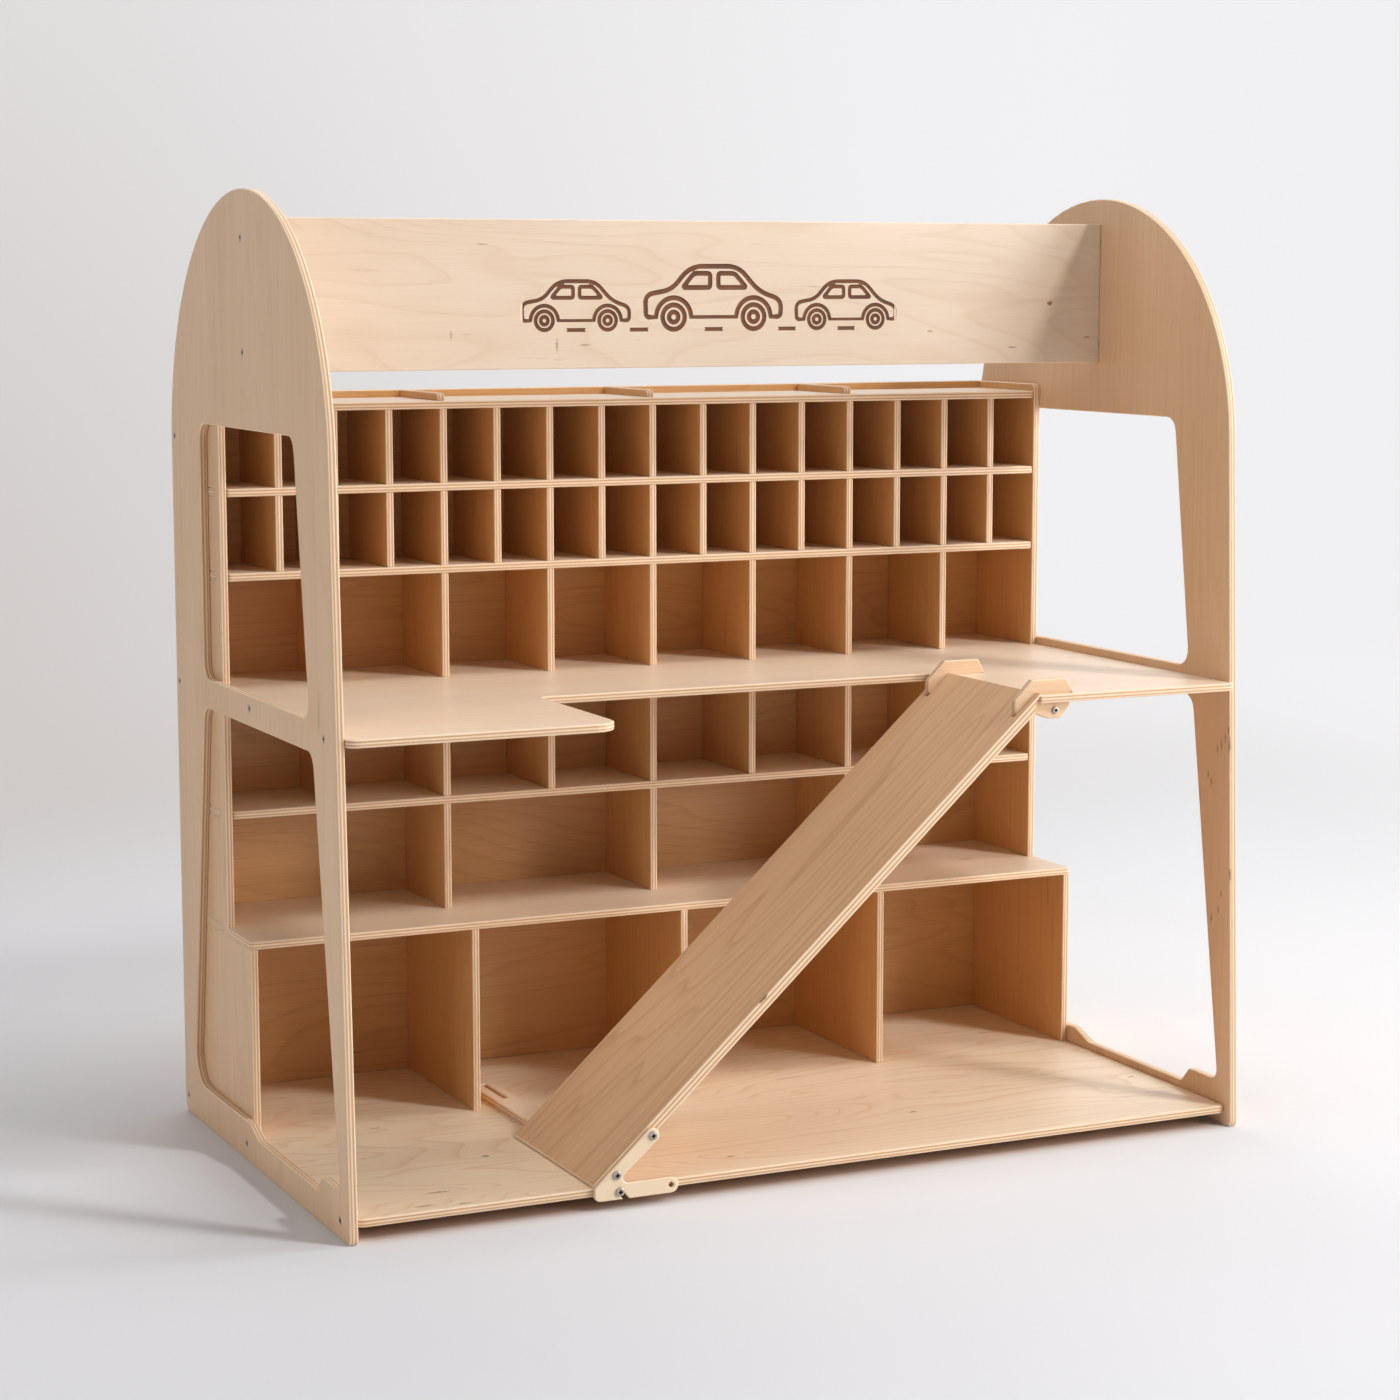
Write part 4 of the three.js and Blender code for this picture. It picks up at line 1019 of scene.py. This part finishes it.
def seen_directly(tree):
    rays = add_node(tree, "ShaderNodeLightPath").outputs
    seen = calculate(tree, "MAXIMUM", rays["Is Camera Ray"], rays["Is Glossy Ray"])
    return calculate(tree, "MAXIMUM", seen, rays["Is Transmission Ray"])


wall_tree = paper.node_tree
wall_place = add_node(wall_tree, "ShaderNodeTexCoord").outputs["Object"]
across, deep, up = add_node(wall_tree, "ShaderNodeSeparateXYZ", {0: wall_place}).outputs
far_share = soft_step(wall_tree, deep, *FAR_LIFT, 0.0, LIFT_SHARE)
right_share = soft_step(wall_tree, across, *RIGHT_LIFT, 0.0, LIFT_SHARE)
lift = calculate(wall_tree, "MULTIPLY", calculate(wall_tree, "MAXIMUM", far_share, right_share),
                 seen_directly(wall_tree))
wall_left = blend_colours(wall_tree, soft_step(wall_tree, up, *LEFT_RISE), LOW_LEFT, HIGH_LEFT)
wall_colour = blend_colours(wall_tree, soft_step(wall_tree, across, *WALL_TURN), wall_left, WALL_RIGHT)
glow = add_node(wall_tree, "ShaderNodeEmission", {"Color": wall_colour})
mixed = add_node(wall_tree, "ShaderNodeMixShader",
                 {0: lift, 1: paper_surface.outputs[0], 2: glow.outputs[0]})
wall_tree.links.new(mixed.outputs[0], wall_tree.nodes["Material Output"].inputs["Surface"])
print("wall, far floor and right floor lifted by a share of up to", LIFT_SHARE)

# %% Colour of the paper
BOUNCE_PAPER = paint(238, 236, 236)
# For the camera the paper turns a little darker to the right: painted shade against the right lamp's light
PAPER_LEFT, PAPER_RIGHT, PAPER_TURN = paint(216, 216, 219), paint(211, 211, 213), (0.0, 0.9)
# The painted shadow strip: how far its middle lies to the front, its half depth and its half width
PAINTED_SHADOW_COLOUR, PAINTED_SHADOW_AHEAD = paint(190, 160, 143), 0.16
PAINTED_SHADOW_DEPTH, PAINTED_SHADOW_WIDTH = (0.068, 0.030), (0.40, 0.37)

direct_paper = blend_colours(wall_tree, soft_step(wall_tree, across, *PAPER_TURN), PAPER_LEFT, PAPER_RIGHT)
from_strip = calculate(wall_tree, "ABSOLUTE", calculate(wall_tree, "ADD", deep, PAINTED_SHADOW_AHEAD))
from_centre = calculate(wall_tree, "ABSOLUTE", across)
under = calculate(wall_tree, "MULTIPLY", soft_step(wall_tree, from_strip, *PAINTED_SHADOW_DEPTH),
                  soft_step(wall_tree, from_centre, *PAINTED_SHADOW_WIDTH))
# Painted shadow: the paper under the front of the base is blended towards a darker, browner colour
direct_paper = blend_colours(wall_tree, under, direct_paper, PAINTED_SHADOW_COLOUR)
seen_paper = blend_colours(wall_tree, seen_directly(wall_tree), BOUNCE_PAPER, direct_paper)
feed(wall_tree, paper_surface.inputs["Base Color"], seen_paper)
print("paper warmer within", PAINTED_SHADOW_DEPTH[0], "m of the strip's middle")

# %% [markdown]
# The lamps are round areas that the camera doesn't see. The world is dim for the object and
# bright for the camera, which would else see grey past the paper's edge.

# %% Lamps and world
def add_lamp(name, place, target, size, power):
    lamp = bpy.data.lights.new(name, "AREA")
    lamp.shape = "DISK"
    lamp.size = size
    lamp.energy = power
    made = bpy.data.objects.new(name, lamp)
    made.location = place
    made.rotation_euler = (Vector(target) - Vector(place)).to_track_quat("-Z", "Y").to_euler()
    made.visible_camera = False
    bpy.context.scene.collection.objects.link(made)


MIDDLE = (0.0, 0.0, 0.35)
# For each lamp: place, diameter in metres and power in watts
LAMPS = {
    "key_lamp": ((1.7, -2.1, 2.6), 0.5, 47),
    "low_key_lamp": ((2.2, -2.6, 1.3), 1.3, 41),
    "right_lamp": ((3.4, -0.6, 1.0), 1.6, 88),
    "rear_right_lamp": ((2.6, 2.0, 1.8), 1.6, 15),
    "rear_lamp": ((0.5, 2.3, 2.8), 1.6, 18),
    "left_lamp": ((-3.4, 0.0, 1.2), 2.0, 22),
    "top_lamp": ((0.0, -0.3, 3.2), 2.0, 33),
}
WHITE, DIM_STRENGTH = (1.0, 1.0, 1.0, 1.0), 0.12
PALE_GREY, BRIGHT_STRENGTH = paint(240, 240, 241), 1.0

for name, (place, size, power) in LAMPS.items():
    add_lamp(name, place, MIDDLE, size, power)
world = bpy.data.worlds.new("white studio")
bpy.context.scene.world = world
world.use_nodes = True
sky = world.node_tree
dim = sky.nodes["Background"]
dim.inputs["Color"].default_value = WHITE
dim.inputs["Strength"].default_value = DIM_STRENGTH
bright = add_node(sky, "ShaderNodeBackground", {"Color": PALE_GREY, "Strength": BRIGHT_STRENGTH})
either = add_node(sky, "ShaderNodeMixShader",
                  {0: seen_directly(sky), 1: dim.outputs[0], 2: bright.outputs[0]})
sky.links.new(either.outputs[0], sky.nodes["World Output"].inputs["Surface"])
